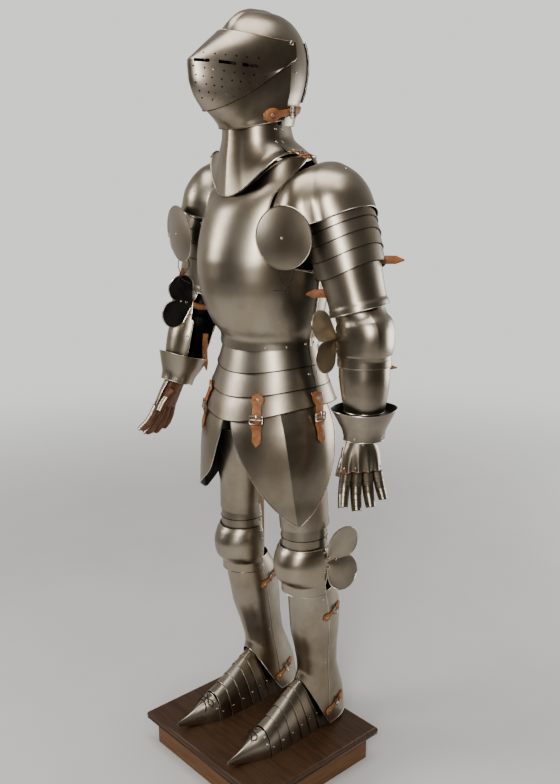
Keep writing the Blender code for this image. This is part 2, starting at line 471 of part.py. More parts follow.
def make_tasset(name, side, armour):
    rings = [ring._replace(start=start) for ring, start in zip(TASSET, TASSET_STARTS[name])]
    plate_of(f"tasset_{name}", rings, STEEL, armour, side, columns=8, ridge=TASSET_RIDGE)
    for place, middle in TASSET_STRAP_ANGLES.items():
        rows = []
        for height, width in zip(TASSET_STRAP_HEIGHTS, TASSET_STRAP_WIDTHS):
            reach = math.degrees(width / 2 / TASSET[0].wide)
            rows.append([tasset_strap_point(middle + turn, height) for turn in (-reach, reach)])
        sheet(f"tasset_strap_{place}_{name}", rows, STRAP, armour, side, LEATHER)


def brow_rows(table):
    """Rows of points over the face from one side to the other, pointed like a bow in the middle."""
    rows = []
    for row in table:
        points = []
        for n in range(FACE_COLUMNS + 1):
            aside = math.sin(math.radians(-90 + 180 * n / FACE_COLUMNS))
            ahead, up = 1 - abs(aside) ** row.bow, 1 - abs(aside) ** row.arch
            height = row.side_height + (row.height - row.side_height) * up
            height -= row.droop * aside ** 2 * (1 - aside ** DROOP_END)
            forward = row.side_ahead + (row.ahead - row.side_ahead) * ahead
            points.append(Vector((row.wide * aside, forward, height)))
        rows.append(points)
    return rows


def make_helmet(armour):
    rows = []
    for ring in SKULL:
        angles = [360 * n / SKULL_COLUMNS for n in range(SKULL_COLUMNS + 1)]
        rows.append([oval(ring, angle) if ring.start <= angle <= ring.stop else None for angle in angles])
    sheet("skull", rows, STEEL, armour)
    sheet("bevor", brow_rows(BEVOR), STEEL, armour)
    sheet("visor", brow_rows(VISOR), STEEL, armour)
    arc = [180 - NAPE_REACH + 2 * NAPE_REACH * n / NAPE_COLUMNS for n in range(NAPE_COLUMNS + 1)]
    nape = [[over(SKULL, angle, height, NAPE_PROUD) for angle in arc] for height in NAPE_HEIGHTS]
    sheet("nape_plate", nape, STEEL, armour)
    strap = []
    for rise in (0.5, -0.5):
        places = [(angle, height + rise * HELMET_STRAP_WIDTH) for angle, height in HELMET_STRAP]
        strap.append([over(SKULL, angle, height, LEATHER + HELMET_STRAP_PROUD) for angle, height in places])
    sheet("helmet_strap", strap, STRAP, armour, wall=LEATHER)


def lobe_reach(wing, angle):
    """How far the outline of a wing is from its root, in one direction."""
    reach = WING_STUB
    for lean in (-wing.angle, wing.angle):
        off = math.radians(angle - lean)
        under = wing.radius ** 2 - (wing.distance * math.sin(off)) ** 2
        if under > 0 and math.cos(off) > 0:
            reach = max(reach, wing.distance * math.cos(off) + math.sqrt(under))
    return reach


def wing_of(name, wing, place, parent, side):
    """A fan of two round lobes that spreads along -Y from the place's origin, curled to the outside."""
    edit = bmesh.new()
    centre = edit.verts.new((0, 0, 0))
    rim = []
    for n in range(WING_STEPS + 1):
        angle = -WING_LIMIT + 2 * WING_LIMIT * n / WING_STEPS
        far, turn = lobe_reach(wing, angle), math.radians(angle)
        curl = wing.curl * (far / (wing.distance + wing.radius)) ** 2
        rim.append(edit.verts.new((side * curl, -far * math.cos(turn), far * math.sin(turn))))
    for a, b in zip(rim, rim[1:]):
        edit.faces.new((centre, b, a) if side > 0 else (a, b, centre))
    fan = object_of(name, edit, STEEL, parent, place)
    thick = fan.modifiers.new("wall", "SOLIDIFY")
    thick.thickness = PLATE
    thick.offset = -1
    return fan


def make_glove(name, side, hand, bend):
    """A hollow leather glove: palm, four fingers side by side, and a thumb, open at the wrist."""
    blocks = round(2 / FINGER_BLOCK)
    knuckle = GLOVE_ROWS[-1].height
    fall = Matrix.Rotation(math.radians(bend), 4, "X")
    rows = []
    for row in GLOVE_ROWS + [finger._replace(height=finger.height + knuckle) for finger in FINGER_ROWS]:
        points = []
        for n in range(2 * blocks + 1):
            across = abs(n - blocks) * FINGER_BLOCK - 1
            thick = row.thick - (row.groove if n % 2 == 0 else 0.0)
            thick *= math.sqrt(1 - abs(across) ** 3) * (1 if n < blocks else -1)
            length = FINGER_LENGTHS[min(3, int((across + 1) * 2))]
            below = min(row.height, knuckle + min(0.0, row.height - knuckle) * length)
            if row.height >= knuckle:
                points.append(Vector((row.wide * across, -thick, row.height)))
            else:
                bent = fall @ Vector((row.wide * across, -thick, below - knuckle))
                points.append(bent + Vector((0, 0, knuckle)))
        rows.append(points)
    last = rows[-1]
    rows.append([Vector((p.x, (p.y + last[-n - 1].y) / 2, p.z - LEATHER)) for n, p in enumerate(last)])
    glove = sheet(f"glove_{name}", rows, GLOVE, hand, side, LEATHER / 2)
    root, tip = Vector(THUMB_ROOT), Vector(THUMB_TIP)
    axis = (tip - root).normalized()
    across = axis.cross(Vector((0, 1, 0))).normalized()
    above = across.cross(axis)
    turns = [2 * math.pi * n / THUMB_SIDES for n in range(THUMB_SIDES + 1)]
    thumb = []
    for share, size in THUMB_SHAPE:
        centre, radius = root.lerp(tip, share), THUMB_RADIUS * size
        thumb.append([centre + radius * (across * math.cos(t) - above * math.sin(t)) for t in turns])
    stub = sheet(f"thumb_{name}", thumb, GLOVE, hand, side, LEATHER / 2)
    bodies_joined(f"glove_{name}", glove, [stub])


def make_couter(name, side, shoulder, elbow, wrist, armour):
    """The elbow cup, bent from the upper arm's direction into the forearm's, with its wing."""
    upper = limb_place(shoulder, elbow, 1).to_quaternion()
    fore = limb_place(elbow, wrist, 1).to_quaternion()
    centre = Vector((elbow.out, elbow.ahead, elbow.height))
    rows = []
    for points in plate_rows(COUTER, 10, COUTER_RIDGE):
        share = min(1.0, max(0.0, 0.5 + points[0].z / (2 * ELBOW_SPAN)))
        turn = fore.slerp(upper, share)
        rows.append([turn @ point + centre for point in points])
    cup = sheet(f"couter_{name}", rows, STEEL, armour, side)
    middle = limb_place(shoulder, elbow, side).to_quaternion().slerp(
        limb_place(elbow, wrist, side).to_quaternion(), 0.5)
    at_elbow = Matrix.Translation((side * elbow.out, elbow.ahead, elbow.height)) @ middle.to_matrix().to_4x4()
    root = Vector(ELBOW_WING_ROOT)
    root.x *= side
    place = Matrix.Translation(root) @ Matrix.Rotation(side * math.radians(ELBOW_WING_TURN), 4, "Z")
    fan = wing_of(f"elbow_wing_{name}", ELBOW_WING, at_elbow @ place, armour, -side)
    bodies_joined(f"couter_{name}", cup, [fan])


def make_arm(name, side, shoulder, elbow, wrist, armour):
    upper = guide(f"upper_arm_{name}", armour, limb_place(shoulder, elbow, side))
    fore = guide(f"forearm_{name}", armour, limb_place(elbow, wrist, side))
    plate_of(f"pauldron_{name}", PAULDRON, STEEL, upper, side, columns=12, ridge=PAULDRON_RIDGE)
    plate_of(f"pauldron_lames_{name}", stepped(PAULDRON_LAMES), STEEL, upper, side, columns=9)
    plate_of(f"rerebrace_{name}", REREBRACE, STEEL, upper, side, columns=10)
    make_couter(name, side, shoulder, elbow, wrist, armour)
    plate_of(f"vambrace_{name}", VAMBRACE, STEEL, fore, side, columns=10)

    held = HANDS[name]
    turn = Matrix.Rotation(side * math.radians(held.outwards), 4, "Z")
    cuff = guide(f"cuff_{name}", armour, limb_place(elbow, wrist, side, at_bottom=True) @ turn)
    plate_of(f"gauntlet_cuff_{name}", CUFF, STEEL, cuff, side, columns=14)
    shifted = Matrix.Translation((side * held.shift, 0, 0))
    hand = guide(f"hand_{name}", cuff, shifted @ Matrix.Rotation(math.radians(-held.bend), 4, "X"))
    plate_of(f"gauntlet_hand_{name}", HAND_PLATE, STEEL, hand, side, columns=8)
    make_glove(name, side, hand, held.finger_bend)


def make_rondel(name, side, armour):
    rondel = RONDELS[name]
    place = (Matrix.Translation((side * rondel.out, rondel.ahead, rondel.height))
             @ Matrix.Rotation(side * math.radians(rondel.turn), 4, "Z")
             @ Matrix.Rotation(math.radians(rondel.nod), 4, "X"))
    turns = [2 * math.pi * n / RONDEL_SIDES for n in range(RONDEL_SIDES + 1)]
    rings = []
    for share in RONDEL_SHARES:
        far, dome = RONDEL_RADIUS * share, RONDEL_DOME * (1 - share ** 2)
        rings.append([Vector((far * math.cos(t), -dome, far * math.sin(t))) for t in turns])
    sheet(f"rondel_{name}", rings, STEEL, armour, place=place)
    hanging = Matrix.Translation(place.translation + Vector((0, LACE_BACK, 0)))
    cord_of(f"rondel_lace_{name}", RONDEL_LACE, LACE_THICK, armour, side, hanging)


def cord_of(name, route, thick, parent, side, place):
    """A round cord along a smooth curve through a route's points."""
    knots = [Vector((side * x, y, z)) for x, y, z in route]
    ends = [2 * knots[0] - knots[1]] + knots + [2 * knots[-1] - knots[-2]]
    path = [knots[0]]
    for before, start, stop, after in zip(ends, ends[1:], ends[2:], ends[3:]):
        pieces = max(1, round((stop - start).length / (LACE_STEP * thick)))
        for n in range(1, pieces + 1):
            t = n / pieces
            path.append(0.5 * (2 * start + (stop - before) * t
                               + (2 * before - 5 * start + 4 * stop - after) * t ** 2
                               + (3 * start - before - 3 * stop + after) * t ** 3))
    curve = bpy.data.curves.new(name, "CURVE")
    curve.dimensions = "3D"
    curve.bevel_depth = thick / 2
    curve.bevel_resolution = 2
    curve.use_fill_caps = True
    line = curve.splines.new("POLY")
    line.points.add(len(path) - 1)
    for point, at in zip(line.points, path):
        point.co = at.to_4d()
    curve.materials.append(finish_of(LACE))
    cord = bpy.data.objects.new(name, curve)
    bpy.context.collection.objects.link(cord)
    cord.parent = parent
    cord.matrix_local = place


def foot_points(foot, inset):
    """An arch over the foot, standing on its two sides."""
    points = []
    for n in range(ARCH_COLUMNS + 1):
        turn = math.radians(-90 + 180 * n / ARCH_COLUMNS)
        aside, crown = math.sin(turn), abs(math.cos(turn)) ** ARCH_POWER
        width = (foot.wide - inset) * math.copysign(abs(aside) ** ARCH_POWER, aside)
        height = SEAM + foot.sole + (foot.rise - inset - foot.sole) * crown
        out = TOE_OUT * max(0.0, -foot.back) / -TOE_CAP[-1].back
        points.append(Vector((width + out, foot.back + foot.slant * (1 - crown), height)))
    return points


def make_leg(name, side, armour):
    thigh = guide(f"thigh_{name}", armour, Matrix.Translation((side * KNEE_APART, 0, LEG_LIFT[name])))
    knee = Matrix.Translation((0, 0, CUISSE[-1].height))
    lean = knee @ Matrix.Rotation(-side * THIGH_LEAN, 4, "Y") @ knee.inverted()
    plate_of(f"cuisse_{name}", CUISSE, STEEL, thigh, side, columns=10, place=lean)
    plate_of(f"knee_lames_{name}", stepped(KNEE_LAMES), STEEL, thigh, side, columns=8)
    cup = plate_of(f"poleyn_{name}", POLEYN, STEEL, thigh, side, columns=10)
    root = Vector(KNEE_WING_ROOT)
    root.x *= side
    place = Matrix.Translation(root) @ Matrix.Rotation(math.pi, 4, "Z")
    fan = wing_of(f"knee_wing_{name}", KNEE_WING, place, thigh, -side)
    bodies_joined(f"poleyn_{name}", cup, [fan])

    foot = guide(f"foot_{name}", armour, Matrix.Translation((side * FOOT_APART, 0, 0)))
    ankle = Matrix.Translation((0, 0, ANKLE_HEIGHT))
    shin_length = KNEE_HEIGHT - ANKLE_HEIGHT
    outwards = Matrix.Rotation(side * math.atan2(KNEE_APART - FOOT_APART, shin_length), 4, "Y")
    forwards = Matrix.Rotation(math.atan2(SHIN_AHEAD[name], shin_length), 4, "X")
    shin = guide(f"shin_{name}", foot, ankle @ forwards @ outwards @ ankle.inverted())
    for part, (start, stop) in GREAVE_ARCS.items():
        rings = [ring._replace(start=start, stop=stop) for ring in GREAVE + GREAVE_FOOT[part]]
        plate_of(f"greave_{part}_{name}", rings, STEEL, shin, side, columns=8)
    rows = [foot_points(SABATON[0], 0.0)]
    for section in SABATON[1:-1]:
        rows.append(foot_points(section, 0.0))
        rows.append(foot_points(section._replace(back=section.back - RISER / 4), RISER))
    sheet(f"sabaton_{name}", rows + [foot_points(SABATON[-1], 0.0)], STEEL, foot, side)
    sheet(f"toe_cap_{name}", [foot_points(section, 0.0) for section in TOE_CAP], STEEL, foot, side)
    cord_of(f"toe_lace_{name}", TOE_LACE, TOE_LACE_THICK, foot, side, Matrix.Identity(4))


def make_shoulder_strap(name, side, armour):
    rows = []
    for out, height in SHOULDER_STRAP:
        rows.append([Vector((out, ahead, height)) for ahead in SHOULDER_STRAP_EDGES])
    sheet(f"shoulder_strap_{name}", rows, STRAP, armour, side, LEATHER)


def box_between(name, low, high, parent):
    edit = bmesh.new()
    low, high = Vector(low), Vector(high)
    middle = Matrix.Translation((low + high) / 2)
    bmesh.ops.create_cube(edit, size=1, matrix=middle @ Matrix.Diagonal((high - low).to_4d()))
    return object_of(name, edit, POST_WOOD, parent)


def make_stand(armour):
    """Posts in the legs, a hip board, a spine with a shoulder yoke, and a round head block."""
    half, thick = POST_SIZE / 2, SPINE_SIZE / 2
    back, hip_top = POST_AHEAD + half, HIP_HEIGHT + HIP_THICK
    hips = box_between("stand_frame", (-POST_OUT - half, back - HIP_DEPTH, HIP_HEIGHT),
                       (POST_OUT + half, back, hip_top), armour)
    others = [box_between("spine", (-thick, SPINE_AHEAD - thick, HIP_HEIGHT + JOINT_BITE),
                          (thick, SPINE_AHEAD + thick, SPINE_TOP), armour),
              box_between("yoke", (-YOKE_REACH, SPINE_AHEAD - thick, YOKE_HEIGHT),
                          (YOKE_REACH, SPINE_AHEAD + thick + JOINT_BITE, YOKE_HEIGHT + YOKE_THICK), armour)]
    for name, out in (("left", POST_OUT), ("right", -POST_OUT)):
        others.append(box_between(f"post_{name}", (out - half, POST_AHEAD - half, SEAM),
                                  (out + half, back - SEAM, hip_top - JOINT_BITE), armour))
    head = bmesh.new()
    bmesh.ops.create_cone(head, cap_ends=True, segments=HEAD_SIDES, radius1=HEAD_RADIUS, radius2=HEAD_RADIUS,
                          depth=HEAD_THICK, matrix=Matrix.Translation((0, HEAD_AHEAD, SPINE_TOP)))
    others.append(object_of("head_block", head, POST_WOOD, armour))
    bodies_joined("stand_frame", hips, others)


def main():
    clear_scene()
    make_plinth()
    armour = guide("armour", place=Matrix.Translation((0, 0, PLINTH_HEIGHT)))
    make_stand(armour)
    make_torso(armour)
    make_helmet(armour)
    for name, (side, shoulder, elbow, wrist) in ARMS.items():
        make_tasset(name, side, armour)
        make_rondel(name, side, armour)
        make_shoulder_strap(name, side, armour)
        make_arm(name, side, shoulder, elbow, wrist, armour)
        make_leg(name, side, armour)


main()
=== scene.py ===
"""The looks of a suit of plate armour on its plinth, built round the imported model.

Metres, +Z up, the front towards -Y and the wearer's left towards +X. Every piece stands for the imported
node that it replaces, and rides on the body "armour" or "visor".
"""

import math
from collections import namedtuple

import bmesh
import bpy
import numpy as np
from mathutils import Matrix, Vector
from mathutils.bvhtree import BVHTree


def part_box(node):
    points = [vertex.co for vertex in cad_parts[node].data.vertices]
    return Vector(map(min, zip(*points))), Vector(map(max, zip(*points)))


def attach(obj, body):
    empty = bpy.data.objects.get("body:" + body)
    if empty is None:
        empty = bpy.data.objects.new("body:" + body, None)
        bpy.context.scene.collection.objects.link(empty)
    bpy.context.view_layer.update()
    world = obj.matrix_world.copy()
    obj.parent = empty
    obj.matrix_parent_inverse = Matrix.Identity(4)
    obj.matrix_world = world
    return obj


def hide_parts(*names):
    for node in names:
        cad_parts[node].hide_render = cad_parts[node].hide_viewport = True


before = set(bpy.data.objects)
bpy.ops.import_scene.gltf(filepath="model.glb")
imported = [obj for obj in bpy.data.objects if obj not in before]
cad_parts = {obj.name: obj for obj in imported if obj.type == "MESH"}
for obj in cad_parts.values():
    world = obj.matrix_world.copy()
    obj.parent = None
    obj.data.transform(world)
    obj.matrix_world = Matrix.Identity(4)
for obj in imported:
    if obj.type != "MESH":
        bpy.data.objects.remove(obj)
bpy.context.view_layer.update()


# ---------------------------------------------------------------------------------------------------
# Plinth: four boards mitred into a low box, under a slab with a moulded edge. Both are stained dark
# brown and waxed, the box a little redder. The slab is glued down on the box.

SLAB_LOW, SLAB_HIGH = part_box("plinth_slab")
BOX_LOW, BOX_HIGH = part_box("plinth_box")
SOLE = SLAB_HIGH.z
BOARD = 0.018
MITRE_GAP = 0.0002
# How far each line of the moulding stands in from the slab's edge, and its height in the slab
SLAB_MOULDING = [(0.0040, 0.0000), (0.0012, 0.0004), (0.0000, 0.0016), (0.0004, 0.0034), (0.0022, 0.0046),
                 (0.0022, 0.0060), (0.0004, 0.0072), (0.0000, 0.0100), (0.0006, 0.0150), (0.0022, 0.0190),
                 (0.0052, 0.0214), (0.0100, 0.0220)]
SLAB_STAIN = ((0.050, 0.024, 0.012), (0.082, 0.042, 0.021))
BOX_STAIN = ((0.125, 0.056, 0.020), (0.190, 0.090, 0.033))
ALONG_X, ALONG_Y, ALONG_Z = (3.0, 45.0, 45.0), (45.0, 3.0, 45.0), (45.0, 45.0, 3.0)


def node_in(material, kind, inputs=None, **settings):
    """Adds one shader node. An input is a value or another node's output."""
    node = material.node_tree.nodes.new(kind)
    for key, value in settings.items():
        setattr(node, key, value)
    for socket, value in (inputs or {}).items():
        if isinstance(value, bpy.types.NodeSocket):
            material.node_tree.links.new(value, node.inputs[socket])
        else:
            node.inputs[socket].default_value = value
    return node


def finish_named(name, metallic=0.0):
    """A new material, its shader, and the place of each point on the object."""
    material = bpy.data.materials.new(name)
    material.use_nodes = True
    shader = material.node_tree.nodes["Principled BSDF"]
    shader.inputs["Metallic"].default_value = metallic
    return material, shader, node_in(material, "ShaderNodeTexCoord").outputs["Object"]


def cloudy(material, where, stretch, detail=4.0, rough=0.6):
    """Noise over the surface, as many patches to the metre along each axis as stretch says."""
    spread = node_in(material, "ShaderNodeMapping", {"Vector": where, "Scale": stretch}).outputs[0]
    return node_in(material, "ShaderNodeTexNoise",
                   {"Vector": spread, "Scale": 1.0, "Detail": detail, "Roughness": rough}).outputs["Fac"]


def between_colours(material, amount, *stops):
    """A colour ramp: each stop is a place and a colour."""
    ramp = node_in(material, "ShaderNodeValToRGB", {"Fac": amount})
    while len(ramp.color_ramp.elements) < len(stops):
        ramp.color_ramp.elements.new(0.5)
    for element, (place, colour) in zip(ramp.color_ramp.elements, stops):
        element.position = place
        element.color = (*colour, 1.0)
    return ramp.outputs["Color"]


def in_range(material, amount, low, high):
    """Noise between 0.3 and 0.7 stretched to run from low to high."""
    stretch = {"Value": amount, "From Min": 0.3, "From Max": 0.7, "To Min": low, "To Max": high}
    return node_in(material, "ShaderNodeMapRange", stretch).outputs[0]


def raised(material, shader, *layers):
    """Bump on the shader: each layer is a height, how deep it is in metres, and its strength."""
    normal = None
    for height, depth, strength in layers:
        inputs = {"Height": height, "Distance": depth, "Strength": strength}
        if normal:
            inputs["Normal"] = normal
        normal = node_in(material, "ShaderNodeBump", inputs).outputs[0]
    material.node_tree.links.new(normal, shader.inputs["Normal"])


def wood(name, stain, grain, gloss=(0.34, 0.52)):
    """Stained wood with its grain along one axis."""
    material, shader, where = finish_named(name)
    fibre = cloudy(material, where, grain, 7.0, 0.66)
    pores = cloudy(material, where, [6 * turns for turns in grain], 2.0, 0.5)
    dark, light = stain
    tone = between_colours(material, fibre, (0.34, dark), (0.50, light), (0.60, dark), (0.72, light))
    material.node_tree.links.new(tone, shader.inputs["Base Color"])
    material.node_tree.links.new(in_range(material, pores, *gloss), shader.inputs["Roughness"])
    raised(material, shader, (fibre, 0.0006, 0.5), (pores, 0.0003, 0.4))
    return material


def piece_from(name, mesh_edit, materials, body="armour", replaced=(), sharp=38, place=None):
    """A finished piece from its mesh: smooth but for sharp edges, on its body, in its nodes' place."""
    mesh = bpy.data.meshes.new(name)
    if place is not None:
        mesh_edit.transform(place)
    mesh_edit.to_mesh(mesh)
    mesh_edit.free()
    for material in materials:
        mesh.materials.append(material)
    mesh.shade_smooth()
    mesh.set_sharp_from_angle(angle=math.radians(sharp))
    piece = bpy.data.objects.new(name, mesh)
    bpy.context.scene.collection.objects.link(piece)
    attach(piece, body)
    if replaced:
        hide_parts(*replaced)
    return piece


slab = bmesh.new()
rims = []
for inset, height in SLAB_MOULDING:
    low, high = SLAB_LOW + Vector((inset, inset, 0)), SLAB_HIGH - Vector((inset, inset, 0))
    level = SLAB_LOW.z + height
    rims.append([slab.verts.new((x, y, level)) for x, y in
                 ((low.x, low.y), (high.x, low.y), (high.x, high.y), (low.x, high.y))])
for lower, upper in zip(rims, rims[1:]):
    for n in range(4):
        slab.faces.new((lower[n], lower[n - 3], upper[n - 3], upper[n]))
slab.faces.new(reversed(rims[0]))
slab.faces.new(rims[-1])
piece_from("plinth_top", slab, [wood("dark stained wood", SLAB_STAIN, ALONG_X)],
           replaced=["plinth_slab"], sharp=50)

for side, grain in (("front", ALONG_X), ("back", ALONG_X), ("left", ALONG_Y), ("right", ALONG_Y)):
    board = bmesh.new()
    half = (BOX_HIGH - BOX_LOW) / 2
    middle = (BOX_HIGH + BOX_LOW) / 2
    across, deep = (half.x, half.y) if grain is ALONG_X else (half.y, half.x)
    edges = [(-across + MITRE_GAP, -deep), (across - MITRE_GAP, -deep),
             (across - BOARD, -deep + BOARD), (-across + BOARD, -deep + BOARD)]
    turn = {"front": 0, "right": -90, "back": 180, "left": 90}[side]
    rounds = []
    for level in (BOX_LOW.z, BOX_HIGH.z):
        rounds.append([board.verts.new((x, y, level - middle.z)) for x, y in edges])
    for n in range(4):
        board.faces.new((rounds[0][n], rounds[0][n - 3], rounds[1][n - 3], rounds[1][n]))
    board.faces.new(reversed(rounds[0]))
    board.faces.new(rounds[1])
    bmesh.ops.bevel(board, geom=board.edges[:], offset=0.0012, segments=2, affect="EDGES")
    stained = wood(f"box board wood {side}", BOX_STAIN, grain)
    piece_from(f"plinth_board_{side}", board, [stained],
               replaced=["plinth_box"] if side == "front" else (),
               place=Matrix.Translation(middle) @ Matrix.Rotation(math.radians(turn), 4, "Z"))


# ---------------------------------------------------------------------------------------------------
# Inner stand: planed softwood posts, hip board, spine, yoke and head block, screwed together. It
# stands inside the armour and carries it, and hardly any of it can be seen.

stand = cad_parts["stand_frame"]
stand.data.materials.clear()
SOFTWOOD, SOFTWOOD_GLOSS = ((0.36, 0.24, 0.13), (0.52, 0.38, 0.22)), (0.55, 0.75)
stand.data.materials.append(wood("planed softwood", SOFTWOOD, ALONG_Z, SOFTWOOD_GLOSS))


# ---------------------------------------------------------------------------------------------------
# Breastplate and backplate: each one sheet of steel hammered round, its neck and arm edges turned over
# into a thin roll, brushed bright outside and painted black inside. They are buckled under the arms.

PLATE = 0.0015
ROLL = 0.0026
Ring = namedtuple("Ring", "height front back wide fore aft centre start stop ease", defaults=(2.5,))
Ridge = namedtuple("Ridge", "rise angle span power lean flat", defaults=(0.0, 0.0))
FLAT = Ridge(0.0, 0, 1, 1)
#                     height  front   back   wide   fore   aft  centre start stop
BREASTPLATE = [Ring(1.545, -0.083, 0.000, 0.128, 0.118, 0.0, 0.050, -88, 88, 4.0),
               Ring(1.500, -0.042, 0.000, 0.139, 0.140, 0.0, 0.050, -64, 64),
               Ring(1.462, -0.018, 0.000, 0.151, 0.158, 0.0, 0.050, -49, 49),
               Ring(1.420, -0.004, 0.000, 0.158, 0.174, 0.0, 0.050, -46, 46),
               Ring(1.380, 0.000, 0.000, 0.163, 0.187, 0.0, 0.050, -45, 45),
               Ring(1.332, 0.000, 0.000, 0.166, 0.199, 0.0, 0.050, -50, 50),
               Ring(1.300, 0.000, 0.000, 0.166, 0.203, 0.0, 0.050, -62, 62),
               Ring(1.272, 0.000, 0.000, 0.164, 0.203, 0.0, 0.050, -89.7, 89.7),
               Ring(1.235, 0.000, 0.000, 0.161, 0.199, 0.0, 0.050, -89.7, 89.7),
               Ring(1.190, 0.000, 0.000, 0.153, 0.185, 0.0, 0.050, -89.7, 89.7),
               Ring(1.145, 0.000, 0.000, 0.143, 0.161, 0.0, 0.050, -89.7, 89.7),
               Ring(1.110, 0.000, 0.000, 0.133, 0.135, 0.0, 0.050, -89.7, 89.7),
               Ring(1.095, -0.010, 0.000, 0.135, 0.134, 0.0, 0.050, -89.7, 89.7)]
BACKPLATE = [Ring(1.545, 0.0, -0.020, 0.128, 0.0, 0.070, 0.050, 92, 268),
             Ring(1.500, 0.0, -0.010, 0.142, 0.0, 0.088, 0.050, 114, 246),
             Ring(1.440, 0.0, 0.000, 0.155, 0.0, 0.107, 0.050, 124, 236),
             Ring(1.370, 0.0, 0.000, 0.163, 0.0, 0.117, 0.050, 122, 238),
             Ring(1.310, 0.0, 0.000, 0.166, 0.0, 0.120, 0.050, 108, 252),
             Ring(1.272, 0.0, 0.000, 0.164, 0.0, 0.119, 0.050, 90.3, 269.7),
             Ring(1.235, 0.0, 0.000, 0.161, 0.0, 0.115, 0.050, 90.3, 269.7),
             Ring(1.190, 0.0, 0.000, 0.153, 0.0, 0.110, 0.050, 90.3, 269.7),
             Ring(1.145, 0.0, 0.000, 0.143, 0.0, 0.104, 0.050, 90.3, 269.7),
             Ring(1.110, 0.0, 0.000, 0.133, 0.0, 0.097, 0.050, 90.3, 269.7),
             Ring(1.095, 0.0, 0.000, 0.135, 0.0, 0.099, 0.050, 90.3, 269.7)]
ON_PLINTH = Matrix.Translation((0, 0, SOLE))
FINE = 0.0065


def steel(name, light=(0.405, 0.362, 0.302), dark=(0.300, 0.263, 0.215), gloss=(0.30, 0.37)):
    """Brushed steel that age has turned brownish in clouds, with fine scratches and an uneven face."""
    material, shader, where = finish_named(name, 1.0)
    age = cloudy(material, where, (5, 5, 4), 5.0, 0.62)
    smear = cloudy(material, where, (9, 9, 5), 2.0, 0.5)
    brushed = cloudy(material, where, (60, 60, 900), 3.0, 0.6)
    waves = cloudy(material, where, (11, 11, 9), 1.0, 0.4)
    rubbed = [1.12 * part for part in light]
    tone = between_colours(material, age, (0.36, dark), (0.52, light), (0.72, rubbed))
    stain = between_colours(material, smear, (0.36, (0.90, 0.86, 0.80)), (0.56, (1.0, 1.0, 1.0)))
    mixed = node_in(material, "ShaderNodeMix", {0: 1.0, 6: tone, 7: stain}, data_type="RGBA",
                    blend_type="MULTIPLY")
    material.node_tree.links.new(mixed.outputs[2], shader.inputs["Base Color"])
    material.node_tree.links.new(in_range(material, smear, *gloss), shader.inputs["Roughness"])
    raised(material, shader, (waves, 0.0016, 0.10), (brushed, 0.00008, 0.20))
    return material


def black_paint():
    """The satin black paint inside the plates."""
    material, shader, where = finish_named("black paint inside")
    patches = cloudy(material, where, (30, 30, 30), 5.0)
    tone = between_colours(material, patches, (0.35, (0.004, 0.004, 0.004)), (0.75, (0.016, 0.014, 0.012)))
    material.node_tree.links.new(tone, shader.inputs["Base Color"])
    material.node_tree.links.new(in_range(material, patches, 0.28, 0.5), shader.inputs["Roughness"])
    raised(material, shader, (patches, 0.0004, 0.4))
    return material


BRUSHED_STEEL = steel("brushed steel")
# A lighter copy of the brushed steel for rolled edges, rivets and buckles: a painted highlight.
HIGHLIGHT_PAINTED_STEEL = steel("steel with painted edge highlight", (0.58, 0.54, 0.48), (0.42, 0.38, 0.33), (0.24, 0.32))
BLACK_PAINT = black_paint()
# A near-black copy of the steel for the lips under lapped edges: painted shade in the seam, where only a
# shadow falls.
SHADE_PAINTED_STEEL = steel("steel with painted seam shade", (0.085, 0.070, 0.056), (0.040, 0.033, 0.027), (0.35, 0.50))
PLATE_FINISH = [BRUSHED_STEEL, BLACK_PAINT, HIGHLIGHT_PAINTED_STEEL, SHADE_PAINTED_STEEL]
# Slot 2 is the lighter steel that paints a highlight; slot 3 is the near-black steel that paints shade in the
# seams.
HIGHLIGHT_SLOT, SHADE_SLOT = 2, 3
# Rolls along edges, from the gorget's down to those on the lames and the hand plates
GORGET_ROLL, FULL_ROLL, LIMB_ROLL, SLIM_ROLL = 0.0018, 0.0014, 0.0013, 0.0012
TOE_ROLL, SIGHT_ROLL, FINE_ROLL, SCALE_ROLL = 0.0010, 0.0008, 0.0007, 0.0005
# Rivets by where they sit, each as half the width of its head
PIVOT_HEAD, TASSET_HEAD, LIMB_HEAD, FOOT_HEAD, HAND_HEAD = 0.0052, 0.0042, 0.0031, 0.0029, 0.0027
# How finely a small plate is stepped from ring to ring
SMALL_STEP = 0.004


def oval(ring, angle, ridge=FLAT):
    """A point of a ring: 0 degrees is the front, 90 the wearer's own side, 180 the back."""
    turn = math.radians(angle)
    ahead, aside = math.cos(turn), math.sin(turn)
    depth, lift = (ring.fore, ring.front) if ahead > 0 else (ring.aft, ring.back)
    near = min(1.0, abs(angle - ridge.angle - ridge.lean * ring.height) / ridge.span)
    grown = 1 + ridge.rise * (1 - near ** ridge.power) - ridge.flat * 4 * near * (1 - near)
    return Vector((ring.wide * grown * aside, ring.centre - depth * grown * ahead,
                   ring.height + lift * abs(ahead) ** ring.ease))


def smoothed(rows, fine=FINE, lengths=6):
    """A table's rows with more between them, on smooth curves that never swing past a row.

    The first columns are lengths, and say how far apart two rows are.
    """
    table = np.array(rows, float)
    gaps = np.maximum(np.linalg.norm(np.diff(table[:, :lengths], axis=0), axis=1), 1e-6)[:, None]
    slopes = np.diff(table, axis=0) / gaps
    turns = np.zeros_like(table)
    turns[0], turns[-1] = slopes[0], slopes[-1]
    both = slopes[:-1] * slopes[1:]
    turns[1:-1] = np.where(both > 0, 2 * both / np.where(both > 0, slopes[:-1] + slopes[1:], 1), 0)
    finer = []
    for n, gap in enumerate(gaps[:, 0]):
        count = max(1, round(gap / fine))
        for t in np.arange(count) / count:
            finer.append((1 + 2 * t) * (1 - t) ** 2 * table[n] + t * (1 - t) ** 2 * gap * turns[n]
                         + t * t * (3 - 2 * t) * table[n + 1] + t * t * (t - 1) * gap * turns[n + 1])
    finer.append(table[-1])
    return [type(rows[0])(*row.tolist()) for row in finer]


